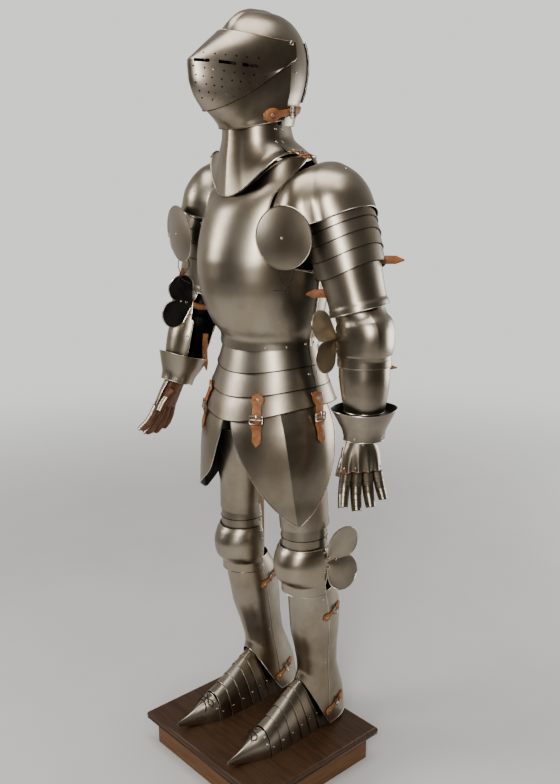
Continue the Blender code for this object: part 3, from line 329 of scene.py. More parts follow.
def arc_of(ring, columns, ridge):
    """The angles of a plate's columns, with one on its ridge."""
    if ridge.rise == 0:
        return [ring.start + (ring.stop - ring.start) * n / columns for n in range(columns + 1)]
    split = columns // 2
    crest = min(max(ridge.angle + ridge.lean * ring.height, ring.start + 0.4), ring.stop - 0.4)
    return ([ring.start + (crest - ring.start) * n / split for n in range(split)]
            + [crest + (ring.stop - crest) * n / (columns - split) for n in range(columns - split + 1)])


def plate_rows(rings, columns, ridge=FLAT, fine=FINE):
    return [[oval(ring, angle, ridge) for angle in arc_of(ring, columns, ridge)]
            for ring in smoothed(rings, fine)]


def roll_on(mesh_edit, path, radius, sides=8, slot=HIGHLIGHT_SLOT, closed=False):
    """A thin round roll along an edge, by default in the lighter steel that paints a highlight on it."""
    path = [point for n, point in enumerate(path) if n == 0 or (point - path[n - 1]).length > 1e-5]
    last = len(path) - 1
    up, rounds = None, []
    for n, point in enumerate(path):
        ahead = (path[min(n + 1, last)] - path[max(n - 1, 0)]).normalized()
        if closed and n in (0, last):
            ahead = (path[1] - path[-2]).normalized()
        up = (up or ahead.orthogonal()) - ahead * ahead.dot(up or ahead.orthogonal())
        up.normalize()
        beside = ahead.cross(up)
        rounds.append([mesh_edit.verts.new(point + radius * (up * math.cos(t) + beside * math.sin(t)))
                       for t in (2 * math.pi * k / sides for k in range(sides))])
    for near, far in zip(rounds, rounds[1:]):
        for k in range(sides):
            mesh_edit.faces.new((near[k], near[k - 1], far[k - 1], far[k])).material_index = slot
    if not closed:
        mesh_edit.faces.new(rounds[0]).material_index = slot
        mesh_edit.faces.new(reversed(rounds[-1])).material_index = slot


def roll_round(mesh_edit, rows, radius, side=1, slot=HIGHLIGHT_SLOT):
    """A thin roll along each of a plate's four edges, by default in the lighter steel that paints a
    highlight.
    """
    for which in ("top", "bottom", "start", "stop"):
        roll_on(mesh_edit, edge_of(rows, which, side), radius, 6, slot)


def walled(mesh_edit, rows, side=1, wall=PLATE, outside=0, inside=1):
    """Adds a plate with a true thickness through rows of points that run top to bottom."""
    sheet = bmesh.new()
    grid = [[point and sheet.verts.new((side * point.x, point.y, point.z)) for point in row] for row in rows]
    for upper, lower in zip(grid, grid[1:]):
        for a, b, c, d in zip(upper, upper[1:], lower[1:], lower):
            if a and b and c and d:
                sheet.faces.new((d, c, b, a) if side > 0 else (a, b, c, d))
    bmesh.ops.delete(sheet, geom=[vert for vert in sheet.verts if not vert.link_faces], context="VERTS")
    bmesh.ops.remove_doubles(sheet, verts=sheet.verts, dist=3e-5)
    sheet.normal_update()
    sheet.verts.index_update()
    outer = [mesh_edit.verts.new(vert.co) for vert in sheet.verts]
    inner = [mesh_edit.verts.new(vert.co - wall * vert.normal) for vert in sheet.verts]
    for face in sheet.faces:
        corners = [vert.index for vert in face.verts]
        mesh_edit.faces.new([outer[n] for n in corners]).material_index = outside
        mesh_edit.faces.new([inner[n] for n in reversed(corners)]).material_index = inside
    for edge in sheet.edges:
        if edge.is_boundary:
            loop = edge.link_loops[0]
            a, b = loop.vert.index, loop.link_loop_next.vert.index
            mesh_edit.faces.new((outer[b], outer[a], inner[a], inner[b]))
    sheet.free()


def edge_of(rows, which, side=1):
    """The points along one edge of a plate."""
    edges = {"top": rows[0], "bottom": rows[-1],
             "start": [row[0] for row in rows], "stop": [row[-1] for row in rows]}
    return [Vector((side * point.x, point.y, point.z)) for point in edges[which]]


def plate_piece(name, rows, node, side=1, place=ON_PLINTH, rolls=(), radius=ROLL, slot=HIGHLIGHT_SLOT, sharp=38):
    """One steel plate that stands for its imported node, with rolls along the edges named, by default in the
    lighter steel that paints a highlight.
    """
    plate = bmesh.new()
    walled(plate, rows, side)
    for which in rolls:
        roll_on(plate, edge_of(rows, which, side), radius, slot=slot)
    return piece_from(name, plate, PLATE_FINISH, replaced=[node], sharp=sharp, place=place)


breast_rows = plate_rows(BREASTPLATE, 72)
back_rows = plate_rows(BACKPLATE, 60)
plate_piece("breastplate_steel", breast_rows, "breastplate", rolls=("top", "start", "stop"))
plate_piece("backplate_steel", back_rows, "backplate", rolls=("top", "start", "stop"))


# ---------------------------------------------------------------------------------------------------
# Fauld and culet: three hoops of steel before and three behind that widen down over the hips. Each
# laps over the next and is held to it by round rivets near its ends.

FAULD_LAMES = [[Ring(1.108, -0.010, 0.0, 0.1260, 0.1250, 0.0, 0.050, -89.7, 89.7),
                Ring(1.080, -0.014, 0.0, 0.1330, 0.1320, 0.0, 0.049, -89.7, 89.7),
                Ring(1.048, -0.018, 0.0, 0.1440, 0.1400, 0.0, 0.048, -89.7, 89.7)],
               [Ring(1.058, -0.020, 0.0, 0.1370, 0.1320, 0.0, 0.048, -89.7, 89.7),
                Ring(1.030, -0.023, 0.0, 0.1480, 0.1420, 0.0, 0.047, -89.7, 89.7),
                Ring(0.998, -0.026, 0.0, 0.1610, 0.1530, 0.0, 0.046, -89.7, 89.7)],
               [Ring(1.008, -0.028, 0.0, 0.1530, 0.1440, 0.0, 0.046, -89.7, 89.7),
                Ring(0.984, -0.034, 0.0, 0.1645, 0.1560, 0.0, 0.045, -89.7, 89.7),
                Ring(0.955, -0.042, 0.0, 0.1780, 0.1680, 0.0, 0.045, -89.7, 89.7)]]
CULET = [Ring(1.108, 0.0, 0.0, 0.1260, 0.0, 0.0880, 0.050, 90.3, 269.7),
         Ring(1.048, 0.0, -0.006, 0.1440, 0.0, 0.1140, 0.048, 90.3, 269.7),
         Ring(0.998, 0.0, -0.012, 0.1610, 0.0, 0.1330, 0.046, 90.3, 269.7),
         Ring(0.955, 0.0, -0.024, 0.1780, 0.0, 0.1530, 0.045, 90.3, 269.7)]
LAP, RIVET = 0.0022, 0.0036
LIP = 0.0011


def moved_out(ring, distance):
    return ring._replace(wide=ring.wide + distance, fore=ring.fore + distance, aft=ring.aft + distance)


def lames_of(rings):
    """Lames that lap like tiles: each starts under the one above it."""
    lames = []
    for number, (upper, lower) in enumerate(zip(rings, rings[1:])):
        tucked = moved_out(upper, -LAP)._replace(height=upper.height + 0.006) if number else upper
        lames.append([tucked, lower])
    return lames


def lames_piece(name, rings, node, columns, side=1, place=ON_PLINTH, lip=LIP):
    """Lames in one piece, as their rivets hold them."""
    lames = bmesh.new()
    for pair in lames_of(rings):
        rows = plate_rows(pair, columns)
        walled(lames, rows, side)
        # The lower lip is in the near-black steel: painted shade under the lap.
        roll_on(lames, edge_of(rows, "bottom", side), lip, 6, SHADE_SLOT)
    return piece_from(name, lames, PLATE_FINISH, replaced=[node], place=place)


def spot_on(rings, angle, height, side=1, place=ON_PLINTH, ridge=FLAT, out=0.0):
    """A point on a plate's face, at this angle and height, and which way the face looks there."""
    fine = smoothed(rings, 0.003)

    def point_at(turned, level):
        rows = [oval(ring, turned, ridge) for ring in fine]
        for upper, lower in zip(rows, rows[1:]):
            if lower.z <= level <= upper.z and upper.z > lower.z:
                return upper.lerp(lower, (upper.z - level) / (upper.z - lower.z))
        return rows[0] if level > rows[0].z else rows[-1]

    here = point_at(angle, height)
    across = point_at(angle + 1, here.z) - point_at(angle - 1, here.z)
    down = point_at(angle, here.z - 0.004) - point_at(angle, here.z + 0.004)
    look = down.cross(across).normalized()
    if look.dot(Vector((here.x, here.y - rings[0].centre, 0))) < 0:
        look.negate()
    here, look = here + out * look, look.copy()
    here.x, look.x = side * here.x, side * look.x
    return place @ here, (place.to_3x3() @ look).normalized()


def rivet_heads(name, spots, radius=RIVET, body="armour", high=0.42):
    """Round-headed steel rivets in one piece, in the lighter steel that paints a highlight."""
    heads = bmesh.new()
    for point, look in spots:
        flat = look.orthogonal().normalized()
        other = look.cross(flat)
        rounds = []
        for share, rise in ((1.0, -0.15), (1.0, 0.08), (0.78, 0.62), (0.42, 0.92)):
            rounds.append([heads.verts.new(point + look * rise * high * radius
                                           + share * radius * (flat * math.cos(t) + other * math.sin(t)))
                           for t in (2 * math.pi * k / 12 for k in range(12))])
        for low, top in zip(rounds, rounds[1:]):
            for k in range(12):
                heads.faces.new((low[k - 1], low[k], top[k], top[k - 1]))
        heads.faces.new(rounds[-1])
        heads.faces.new(reversed(rounds[0]))
    return piece_from(name, heads, [HIGHLIGHT_PAINTED_STEEL], body)


for number, rings in enumerate(FAULD_LAMES, 1):
    rows = plate_rows(rings, 72)
    lame = bmesh.new()
    walled(lame, rows)
    # The lower lip is in the near-black steel: painted shade under the lap.
    roll_on(lame, edge_of(rows, "bottom"), LIP, 6, SHADE_SLOT)
    piece_from(f"fauld_lame_{number}_steel", lame, PLATE_FINISH, replaced=[f"fauld_lame_{number}"],
               place=ON_PLINTH)
lames_piece("culet_lames", CULET, "culet", 60)

waist = []
for angle in (-84, -62, -40, 40, 62, 84):
    waist.append(spot_on(BREASTPLATE, angle, 1.103 - 0.009 * math.cos(math.radians(angle))))
for rings in FAULD_LAMES[1:]:
    for angle in (-85, 85):
        waist.append(spot_on(rings, angle, rings[1].height))
for angle in (98, 130, 180, 230, 262):
    waist.append(spot_on(BACKPLATE, angle, 1.103))
for angle in (96, 264):
    for level in (1.030, 0.980):
        waist.append(spot_on(CULET, angle, level))
rivet_heads("waist_rivets", waist)


# ---------------------------------------------------------------------------------------------------
# Tassets: one plate over each thigh, pointed below, with a ridge pressed down its middle. Each hangs
# from the last fauld lame by two straps of orange-brown leather, riveted above and buckled below.

TASSET = [Ring(0.966, -0.026, 0.0, 0.1600, 0.1500, 0.124, 0.045, 4, 108),
          Ring(0.935, -0.018, 0.0, 0.1710, 0.1590, 0.134, 0.045, 7, 111),
          Ring(0.890, -0.006, 0.0, 0.1835, 0.1700, 0.145, 0.045, 12, 113),
          Ring(0.835, 0.000, 0.0, 0.1905, 0.1790, 0.152, 0.045, 20, 109),
          Ring(0.780, 0.000, 0.0, 0.1930, 0.1850, 0.156, 0.045, 31, 101),
          Ring(0.725, 0.000, 0.0, 0.1930, 0.1890, 0.158, 0.045, 44, 90),
          Ring(0.682, 0.000, 0.0, 0.1950, 0.1920, 0.160, 0.045, 57, 78),
          Ring(0.660, 0.000, 0.0, 0.1955, 0.1930, 0.160, 0.045, 66, 69)]
TASSET_RIDGE = Ridge(0.052, 95.7, 34, 1, -45, 0.016)
TASSET_STARTS = {"left": (4, 7, 12, 20, 31, 44, 57, 66), "right": (3, 1, 1, 4, 9, 29, 55, 66)}
STRAP_THICK, STRAP_PROUD = 0.003, 0.0056
TASSET_STRAP_ANGLES = {"front": 34, "side": 88}
HEAD_MIDDLE, HEAD_RADIUS, STRAP_END = 0.974, 0.0165, 0.862
STRAP_HALF, BUCKLE_AT, KEEPER_AT = 0.0118, 0.930, 0.912
WIRE = 0.0017


def leather(name, light, dark, grain=900):
    """Waxed leather: a cloudy brown, pale where it is rubbed, with a fine pebbled face."""
    material, shader, where = finish_named(name)
    worn = cloudy(material, where, (45, 45, 45), 5.0, 0.65)
    pebble = node_in(material, "ShaderNodeTexVoronoi", {"Vector": where, "Scale": grain}).outputs["Distance"]
    crease = cloudy(material, where, (160, 160, 260), 4.0, 0.7)
    rubbed = [1.25 * part for part in light]
    tone = between_colours(material, worn, (0.30, dark), (0.52, light), (0.74, rubbed))
    material.node_tree.links.new(tone, shader.inputs["Base Color"])
    material.node_tree.links.new(in_range(material, worn, 0.62, 0.42), shader.inputs["Roughness"])
    raised(material, shader, (crease, 0.0005, 0.45), (pebble, 0.00025, 0.5))
    return material


STRAP_LEATHER = leather("orange brown strap leather", (0.34, 0.148, 0.062), (0.185, 0.072, 0.028))


def leather_band(name, stations, node=None, thick=STRAP_THICK, material=STRAP_LEATHER):
    """A flat strap through stations: its face's middle, the ways across and out, its half width."""
    band, rounds = bmesh.new(), []
    for middle, across, out, half in stations:
        soft = min(0.0009, 0.6 * half)
        section = ((-half + soft, 0), (half - soft, 0), (half, -soft), (half, soft - thick),
                   (half - soft, -thick), (soft - half, -thick), (-half, soft - thick), (-half, -soft))
        rounds.append([band.verts.new(middle + x * across + y * out) for x, y in section])
    for near, far in zip(rounds, rounds[1:]):
        for k in range(8):
            band.faces.new((near[k - 1], near[k], far[k], far[k - 1]))
    band.faces.new(rounds[0])
    band.faces.new(reversed(rounds[-1]))
    bmesh.ops.recalc_face_normals(band, faces=band.faces)
    return piece_from(name, band, [material], replaced=[node] if node else (), sharp=50)


def station_on(points, n, half):
    """The station of a strap at one point of the row of points that it follows, and the point beside it."""
    middle, beside = points[n]
    ahead = (points[min(n + 1, len(points) - 1)][0] - points[max(n - 1, 0)][0]).normalized()
    across = (beside - middle)
    across = (across - ahead * ahead.dot(across)).normalized()
    return middle, across, ahead.cross(across), half


def wire_loop(mesh_edit, place, corners, radius=WIRE, closed=True):
    path = [place @ Vector(corner) for corner in corners]
    roll_on(mesh_edit, path + path[:1] if closed else path, radius, 6, 0, closed)


def buckle(name, station, half, tall=0.020, lift=0.0012):
    """A steel buckle over a strap: a rounded frame, its middle bar, and its tongue, in the lighter steel that
    paints a highlight.
    """
    middle, across, out, _ = station
    up = out.cross(across)
    place = Matrix((across, up, out)).transposed().to_4x4()
    place.translation = middle + lift * out
    frame_half, cut = half + 0.0045, 0.003
    corners = []
    for x, y in ((1, 1), (-1, 1), (-1, -1), (1, -1)):
        far, high = frame_half * x, tall / 2 * y
        near = [(far, high - cut * y, 0.0), (far - cut * 0.3 * x, high - cut * 0.3 * y, 0.0006),
                (far - cut * x, high, 0)]
        corners += near if x * y > 0 else near[::-1]
    metal = bmesh.new()
    wire_loop(metal, place, corners)
    wire_loop(metal, place, [(-frame_half, 0, -0.0006), (frame_half, 0, -0.0006)], WIRE * 0.9, False)
    wire_loop(metal, place, [(0, -0.001, 0.0006), (0, 0.003, 0.0026), (0, tall / 2 - 0.001, 0.0022),
                             (0, tall / 2 + 0.0024, 0.0012)], WIRE * 0.75, False)
    return piece_from(name, metal, [HIGHLIGHT_PAINTED_STEEL])


def keeper(name, station, half, wide=0.008, thick=0.0016):
    """A leather loop round a strap."""
    middle, across, out, _ = station
    up = out.cross(across)
    loop, rounds = bmesh.new(), []
    reach = half + 0.0012
    for share in (-0.5, 0.5):
        section = [(-reach - thick, -0.002), (-reach - thick, thick * 0.6), (-reach, thick * 1.35),
                   (reach, thick * 1.35), (reach + thick, thick * 0.6), (reach + thick, -0.002),
                   (reach, -0.002), (reach, 0.0003), (-reach, 0.0003), (-reach, -0.002)]
        rounds.append([loop.verts.new(middle + x * across + y * out + share * wide * up) for x, y in section])
    near, far = rounds
    for k in range(10):
        loop.faces.new((near[k - 1], near[k], far[k], far[k - 1]))
    loop.faces.new(near)
    loop.faces.new(reversed(far))
    bmesh.ops.recalc_face_normals(loop, faces=loop.faces)
    return piece_from(name, loop, [STRAP_LEATHER], sharp=50)


def level_on(rings, angle, height, out, ridge=FLAT):
    """The point that lies a distance out from a plate's face, at this angle and height."""
    levels = [ring._replace(height=oval(ring, angle).z, front=0.0, back=0.0) for ring in rings]
    found = levels[0] if height > levels[0].height else levels[-1]
    for upper, lower in zip(levels, levels[1:]):
        if lower.height <= height <= upper.height:
            share = (upper.height - height) / (upper.height - lower.height)
            found = Ring(*(a + (b - a) * share for a, b in zip(upper, lower)))
    return oval(moved_out(found, out)._replace(height=height), angle, ridge)


def tasset_strap_point(angle, height):
    """A point of a tasset's strap: on the last lame, then hanging from its lip, then on the tasset."""
    lame = FAULD_LAMES[-1]
    on_lame = level_on(lame, angle, max(height, oval(lame[-1], angle).z), STRAP_PROUD)
    on_tasset = level_on(TASSET, angle, height, STRAP_PROUD, TASSET_RIDGE)
    on_lame.z = height
    middle = Vector((0.0, TASSET[0].centre, height))
    return max(on_lame, on_tasset, key=lambda point: (point - middle).length)


def strap_half(height):
    """Half the strap's width: a round head, a narrow neck, a straight run and a pointed end."""
    head = math.sqrt(max(0.0, HEAD_RADIUS ** 2 - (height - HEAD_MIDDLE) ** 2))
    run = STRAP_HALF if height < HEAD_MIDDLE else 0.0
    return max(0.0008, head, min(run, 0.0015 + 0.85 * (height - STRAP_END)))


tasset_rivets = []
for name, side in (("left", 1), ("right", -1)):
    rings = [ring._replace(start=start) for ring, start in zip(TASSET, TASSET_STARTS[name])]
    plate_piece(f"tasset_{name}_steel", plate_rows(rings, 60, TASSET_RIDGE), f"tasset_{name}", side,
                rolls=("top", "start", "stop"), radius=FULL_ROLL, sharp=19)
    for strap, angle in TASSET_STRAP_ANGLES.items():
        heights = np.concatenate([np.linspace(HEAD_MIDDLE + HEAD_RADIUS, HEAD_MIDDLE - HEAD_RADIUS, 15)[:-1],
                                  np.linspace(HEAD_MIDDLE - HEAD_RADIUS, STRAP_END, 24)]).tolist()
        points = []
        for height in heights:
            pair = [tasset_strap_point(angle + turn, height) for turn in (-2, 0, 2)]
            points.append([ON_PLINTH @ Vector((side * p.x, p.y, p.z)) for p in (pair[1], pair[2])])
        stations = [station_on(points, n, strap_half(height)) for n, height in enumerate(heights)]
        if side < 0:
            stations = [(middle, across, -out, half) for middle, across, out, half in stations]
        if stations[0][2].dot(stations[0][0] - Vector((0, 0.045, stations[0][0].z))) < 0:
            stations = [(middle, across, -out, half) for middle, across, out, half in stations]
        leather_band(f"tasset_strap_{strap}_{name}_leather", stations, f"tasset_strap_{strap}_{name}")
        at_buckle = stations[min(range(len(heights)), key=lambda n: abs(heights[n] - BUCKLE_AT))]
        at_keeper = stations[min(range(len(heights)), key=lambda n: abs(heights[n] - KEEPER_AT))]
        buckle(f"tasset_buckle_{strap}_{name}", at_buckle, STRAP_HALF)
        keeper(f"tasset_keeper_{strap}_{name}", at_keeper, STRAP_HALF)
        head = stations[min(range(len(heights)), key=lambda n: abs(heights[n] - HEAD_MIDDLE))]
        tasset_rivets.append((head[0], head[2]))
rivet_heads("tasset_strap_rivets", tasset_rivets, TASSET_HEAD)


# ---------------------------------------------------------------------------------------------------
# Gorget: a collar plate before and one behind, the front one keeled down its middle, each spread
# over the shoulders to a rolled edge. Two rivets join them, and a strap holds each shoulder plate.

GORGET_FRONT = [Ring(1.622, 0.0, 0.0, 0.0820, 0.0750, 0.0, -0.008, -89.8, 89.8),
                Ring(1.586, 0.0, 0.0, 0.0835, 0.0760, 0.0, -0.008, -89.8, 89.8),
                Ring(1.566, -0.030, 0.0, 0.0930, 0.0820, 0.0, -0.008, -89.8, 89.8),
                Ring(1.555, -0.062, 0.0, 0.1080, 0.0850, 0.0, -0.008, -89.8, 89.8),
                Ring(1.552, -0.098, 0.0, 0.1310, 0.0880, 0.0, -0.008, -89.8, 89.8)]
GORGET_BACK = [Ring(1.622, 0.0, 0.0, 0.0820, 0.0, 0.0840, -0.008, 90.2, 269.8),
               Ring(1.586, 0.0, 0.0, 0.0835, 0.0, 0.0980, -0.008, 90.2, 269.8),
               Ring(1.566, 0.0, 0.004, 0.0940, 0.0, 0.1200, -0.008, 90.2, 269.8),
               Ring(1.552, 0.0, -0.016, 0.1310, 0.0, 0.1440, -0.008, 90.2, 269.8)]
GORGET_RIDGE = Ridge(0.06, 0, 22, 1)
SHOULDER_STRAP = ((0.119, 1.5615), (0.135, 1.557), (0.153, 1.550), (0.174, 1.543))
plate_piece("gorget_front_steel", plate_rows(GORGET_FRONT, 72, GORGET_RIDGE, SMALL_STEP), "gorget_front",
            rolls=("top", "bottom"), radius=GORGET_ROLL)
plate_piece("gorget_back_steel", plate_rows(GORGET_BACK, 60, FLAT, SMALL_STEP), "gorget_back",
            rolls=("top", "bottom"), radius=GORGET_ROLL)
collar_rivets = []
for rings, angles in ((GORGET_FRONT, (-84, 84)), (GORGET_BACK, (96, 264))):
    for angle in angles:
        collar_rivets += [spot_on(rings, angle, 1.606), spot_on(rings, angle, 1.577)]
for name, side in (("left", 1), ("right", -1)):
    points = []
    line = [Vector((out, 0.0, height)) for out, height in SHOULDER_STRAP]
    for start, stop in zip(line, line[1:]):
        for n in range(5):
            points.append(start.lerp(stop, n / 5))
    points.append(line[-1])
    half = [0.010 * math.sqrt(min(1.0, 0.15 + n / 3)) for n in range(len(points))]
    pairs = [[ON_PLINTH @ Vector((side * p.x, y, p.z)) for y in (0.0, 0.01)] for p in points]
    stations = [station_on(pairs, n, half[n]) for n in range(len(pairs))]
    stations = [(m, across, out if out.z > 0 else -out, h) for m, across, out, h in stations]
    leather_band(f"shoulder_strap_{name}_leather", stations, f"shoulder_strap_{name}")
    buckle(f"shoulder_buckle_{name}", stations[9], 0.0095, 0.016)
    keeper(f"shoulder_keeper_{name}", stations[12], 0.0095, 0.006)
    collar_rivets.append((stations[2][0], stations[2][2]))
rivet_heads("collar_rivets", collar_rivets)


# ---------------------------------------------------------------------------------------------------
# Helmet: a round skull with a low comb, a bevor round the jaw, and a visor keeled like a bow that
# turns on a rivet at each temple. The sight is six slits, and rows of round breaths let air in.

SKULL = [Ring(1.866, 0.0, -0.004, 0.0015, 0.030, 0.030, 0.010, 0, 360),
         Ring(1.859, 0.0, -0.003, 0.0320, 0.056, 0.055, 0.010, 0, 360),
         Ring(1.842, 0.0, 0.000, 0.0590, 0.083, 0.081, 0.010, 0, 360),
         Ring(1.818, 0.0, 0.000, 0.0780, 0.102, 0.102, 0.010, 0, 360),
         Ring(1.794, 0.0, 0.000, 0.0890, 0.110, 0.113, 0.010, 0, 360),
         Ring(1.766, 0.0, 0.000, 0.0950, 0.110, 0.119, 0.010, 90, 270),
         Ring(1.730, 0.0, 0.000, 0.0975, 0.105, 0.120, 0.008, 90, 270),
         Ring(1.690, 0.0, 0.000, 0.0965, 0.100, 0.114, 0.004, 90, 270),
         Ring(1.650, 0.0, 0.000, 0.0925, 0.097, 0.100, -0.002, 90, 270),
         Ring(1.612, 0.0, 0.000, 0.0895, 0.095, 0.090, -0.006, 90, 270)]
NAPE_HEIGHTS, NAPE_PROUD = (1.800, 1.668), 0.0045
Brow = namedtuple("Brow", "ahead height side_ahead side_height wide bow arch droop")
DROOP_END = 12
VISOR = [Brow(-0.1035, 1.819, 0.020, 1.794, 0.107, 2.4, 1.8, 0.005),
         Brow(-0.1480, 1.788, 0.024, 1.782, 0.107, 2.1, 1.8, 0.018),
         Brow(-0.2000, 1.7515, 0.026, 1.762, 0.107, 1.55, 1.6, 0.036),
         Brow(-0.2010, 1.7440, 0.026, 1.760, 0.107, 1.55, 1.6, 0.036),
         Brow(-0.1985, 1.712, 0.024, 1.757, 0.107, 1.55, 1.8, 0.024),
         Brow(-0.1870, 1.681, 0.018, 1.753, 0.107, 1.6, 2.0, 0.012),
         Brow(-0.1560, 1.643, 0.010, 1.750, 0.107, 1.8, 2.2, 0.0)]
BEVOR = [Brow(-0.1570, 1.676, 0.014, 1.746, 0.1005, 1.8, 1.9, 0.0),
         Brow(-0.1490, 1.648, 0.013, 1.727, 0.1016, 1.8, 1.9, 0.0),
         Brow(-0.1250, 1.628, 0.010, 1.690, 0.1018, 2.0, 2.0, 0.0),
         Brow(-0.1030, 1.614, 0.004, 1.652, 0.0975, 2.5, 2.5, 0.0),
         Brow(-0.0900, 1.605, 0.000, 1.624, 0.0935, 3.2, 2.6, 0.0)]

COMB_RISE, COMB_HALF = 0.0045, 0.012
PIVOT = (0.010, 1.790)
# The sight: where each slit starts and stops to the side of the middle, just above the visor's crease
SIGHT = [(0.012, 0.032), (0.042, 0.058), (0.064, 0.077)]
SIGHT_ROW, SIGHT_ABOVE, SLIT_TALL, HOLE, CUT_DEEP = 2, -0.0018, 0.0066, 0.0019, 0.009
# The breaths: each row's height at the middle, how much it falls to the side, and where its holes are
BREATHS = [(1.7685, 0.16, (18, 35, 47, 58, 68, 78)), (1.7400, 0.27, (11, 26, 36, 47, 57, 65, 74, 84)),
           (1.7220, 0.27, (14, 24, 34, 44, 54, 62, 70, 78)), (1.7060, 0.28, (12, 26, 35, 43, 54, 60, 68)),
           (1.6890, 0.27, (14, 26, 34, 45, 52, 60)), (1.6740, 0.27, (13, 27, 36, 46))]
HELMET_STRAP = ((60, 1.631), (76, 1.636), (92, 1.640), (112, 1.645), (128, 1.650))
HELMET_STRAP_HALF, HELMET_STRAP_PROUD = 0.009, 0.006
MM = 0.001


def brow_point(row, aside):
    """A point of a row, from -1 at one side of the face to 1 at the other."""
    ahead, up = 1 - abs(aside) ** row.bow, 1 - abs(aside) ** row.arch
    fallen = row.droop * aside ** 2 * (1 - aside ** DROOP_END)
    height = row.side_height + (row.height - row.side_height) * up - fallen
    return Vector((row.wide * aside, row.side_ahead + (row.ahead - row.side_ahead) * ahead, height))


def brow_rows(table, columns=96, fine=0.0045):
    """Rows of points over the face from side to side, pointed like a bow in the middle."""
    turns = [math.sin(math.radians(-90 + 180 * n / columns)) for n in range(columns + 1)]
    return [[brow_point(row, aside) for aside in turns] for row in smoothed(table, fine, 4)]


def cut_through(mesh_edit, cutters):
    """The plate with holes where the cutters pass through it."""
    objects = []
    for content in (mesh_edit, cutters):
        mesh = bpy.data.meshes.new("cutting")
        content.to_mesh(mesh)
        content.free()
        objects.append(bpy.data.objects.new("cutting", mesh))
        bpy.context.scene.collection.objects.link(objects[-1])
    plate, cutter = objects
    for _ in range(3):
        plate.data.materials.append(None)
    cut = plate.modifiers.new("cut", "BOOLEAN")
    cut.operation, cut.solver, cut.object = "DIFFERENCE", "EXACT", cutter
    bpy.context.view_layer.update()
    done = bmesh.new()
    done.from_mesh(plate.evaluated_get(bpy.context.evaluated_depsgraph_get()).to_mesh())
    for thing in objects:
        bpy.data.objects.remove(thing, do_unlink=True)
    return done


def full_row(ring, columns=120):
    """A ring as points all round, with None where the plate is open."""
    angles = [360 * n / columns for n in range(columns + 1)]
    return [oval(ring, angle) if ring.start <= angle <= ring.stop else None for angle in angles]


whole = [ring for ring in SKULL if ring.start == 0]
half = [ring for ring in SKULL if ring.start > 0]
COMB_FOOT, COMB_GROWS, COMB_END, COMB_FADES = 1.72, 0.10, 0.13, 0.05
COMB_MIDDLE = 1.75
skull_rings = smoothed([ring._replace(start=0, stop=360) for ring in whole + half], 0.005)
skull_rows = []
for ring in skull_rings:
    opened = ring.height < whole[-1].height - 1e-4
    row = full_row(ring._replace(start=90, stop=270) if opened else ring)
    for point in row:
        if point:
            near = max(0.0, 1 - abs(point.x) / COMB_HALF)
            high_up = min(1.0, max(0.0, (point.z - COMB_FOOT) / COMB_GROWS))
            share = high_up * min(1.0, max(0.0, (COMB_END - abs(point.y)) / COMB_FADES))
            out = Vector((0, point.y, max(0.02, point.z - COMB_MIDDLE))).normalized()
            point += out * COMB_RISE * near ** 0.7 * share
    skull_rows.append(row)
skull_edit = bmesh.new()
walled(skull_edit, skull_rows)
piece_from("skull_steel", skull_edit, PLATE_FINISH, replaced=["skull"], place=ON_PLINTH)

nape_edit = bmesh.new()
nape = []
for height in np.linspace(NAPE_HEIGHTS[0], NAPE_HEIGHTS[-1], 34).tolist():
    nape.append([level_on(SKULL, angle, height, NAPE_PROUD) for angle in np.linspace(138, 222, 49).tolist()])
walled(nape_edit, nape)
# Its edge rolls are in the near-black steel: painted shade round the plate.
roll_round(nape_edit, nape, LIP, 1, SHADE_SLOT)
piece_from("nape_plate_steel", nape_edit, [BRUSHED_STEEL, BRUSHED_STEEL, HIGHLIGHT_PAINTED_STEEL, SHADE_PAINTED_STEEL],
           replaced=["nape_plate"], place=ON_PLINTH)

bevor_rows = brow_rows(BEVOR)
bevor = bmesh.new()
walled(bevor, bevor_rows)
roll_on(bevor, edge_of(bevor_rows, "bottom"), FULL_ROLL, 6, 0)
piece_from("bevor_steel", bevor, PLATE_FINISH, replaced=["bevor"], place=ON_PLINTH)

visor_rows = brow_rows(VISOR[:SIGHT_ROW + 1]) + brow_rows(VISOR[SIGHT_ROW + 1:])
visor = bmesh.new()
walled(visor, visor_rows)
visor.normal_update()
face = BVHTree.FromBMesh(visor)
cutters = bmesh.new()
for side in (1, -1):
    for span in SIGHT:
        ends = []
        for aside in span:
            level = brow_point(VISOR[SIGHT_ROW], aside / VISOR[SIGHT_ROW].wide).z + SIGHT_ABOVE
            ends.append(face.ray_cast(Vector((side * aside, -0.5, level)), Vector((0, 1, 0))))
        along = (ends[1][0] - ends[0][0]).normalized()
        out = (ends[0][1] + ends[1][1]).normalized()
        up = out.cross(along).normalized()
        place = Matrix((along, up, along.cross(up))).transposed().to_4x4()
        place.translation = (ends[0][0] + ends[1][0]) / 2
        size = Vector(((ends[1][0] - ends[0][0]).length, SLIT_TALL, CUT_DEEP))
        bmesh.ops.create_cube(cutters, size=1, matrix=place @ Matrix.Diagonal(size.to_4d()))
    for high, fall, holes in BREATHS:
        for aside in holes:
            start = Vector((side * aside * MM, -0.5, high - fall * aside * MM))
            point, out = face.ray_cast(start, Vector((0, 1, 0)))[:2]
            if point is None:
                continue
            place = Matrix.Translation(point) @ out.to_track_quat("Z", "Y").to_matrix().to_4x4()
            bmesh.ops.create_cone(cutters, cap_ends=True, segments=12, radius1=HOLE, radius2=HOLE,
                                  depth=CUT_DEEP, matrix=place)
visor = cut_through(visor, cutters)
# The lower lip is in the near-black steel: painted shade under the edge.
roll_on(visor, edge_of(visor_rows, "bottom"), LIP, 6, SHADE_SLOT)
roll_on(visor, edge_of(visor_rows, "top"), SIGHT_ROLL, 6, 0)
piece_from("visor_steel", visor, PLATE_FINISH, "visor", ["visor"], place=ON_PLINTH, sharp=26)
pivots = [(ON_PLINTH @ Vector((side * 0.1075, *PIVOT)), Vector((side, 0, 0))) for side in (1, -1)]
rivet_heads("visor_pivots", pivots, PIVOT_HEAD, "visor")

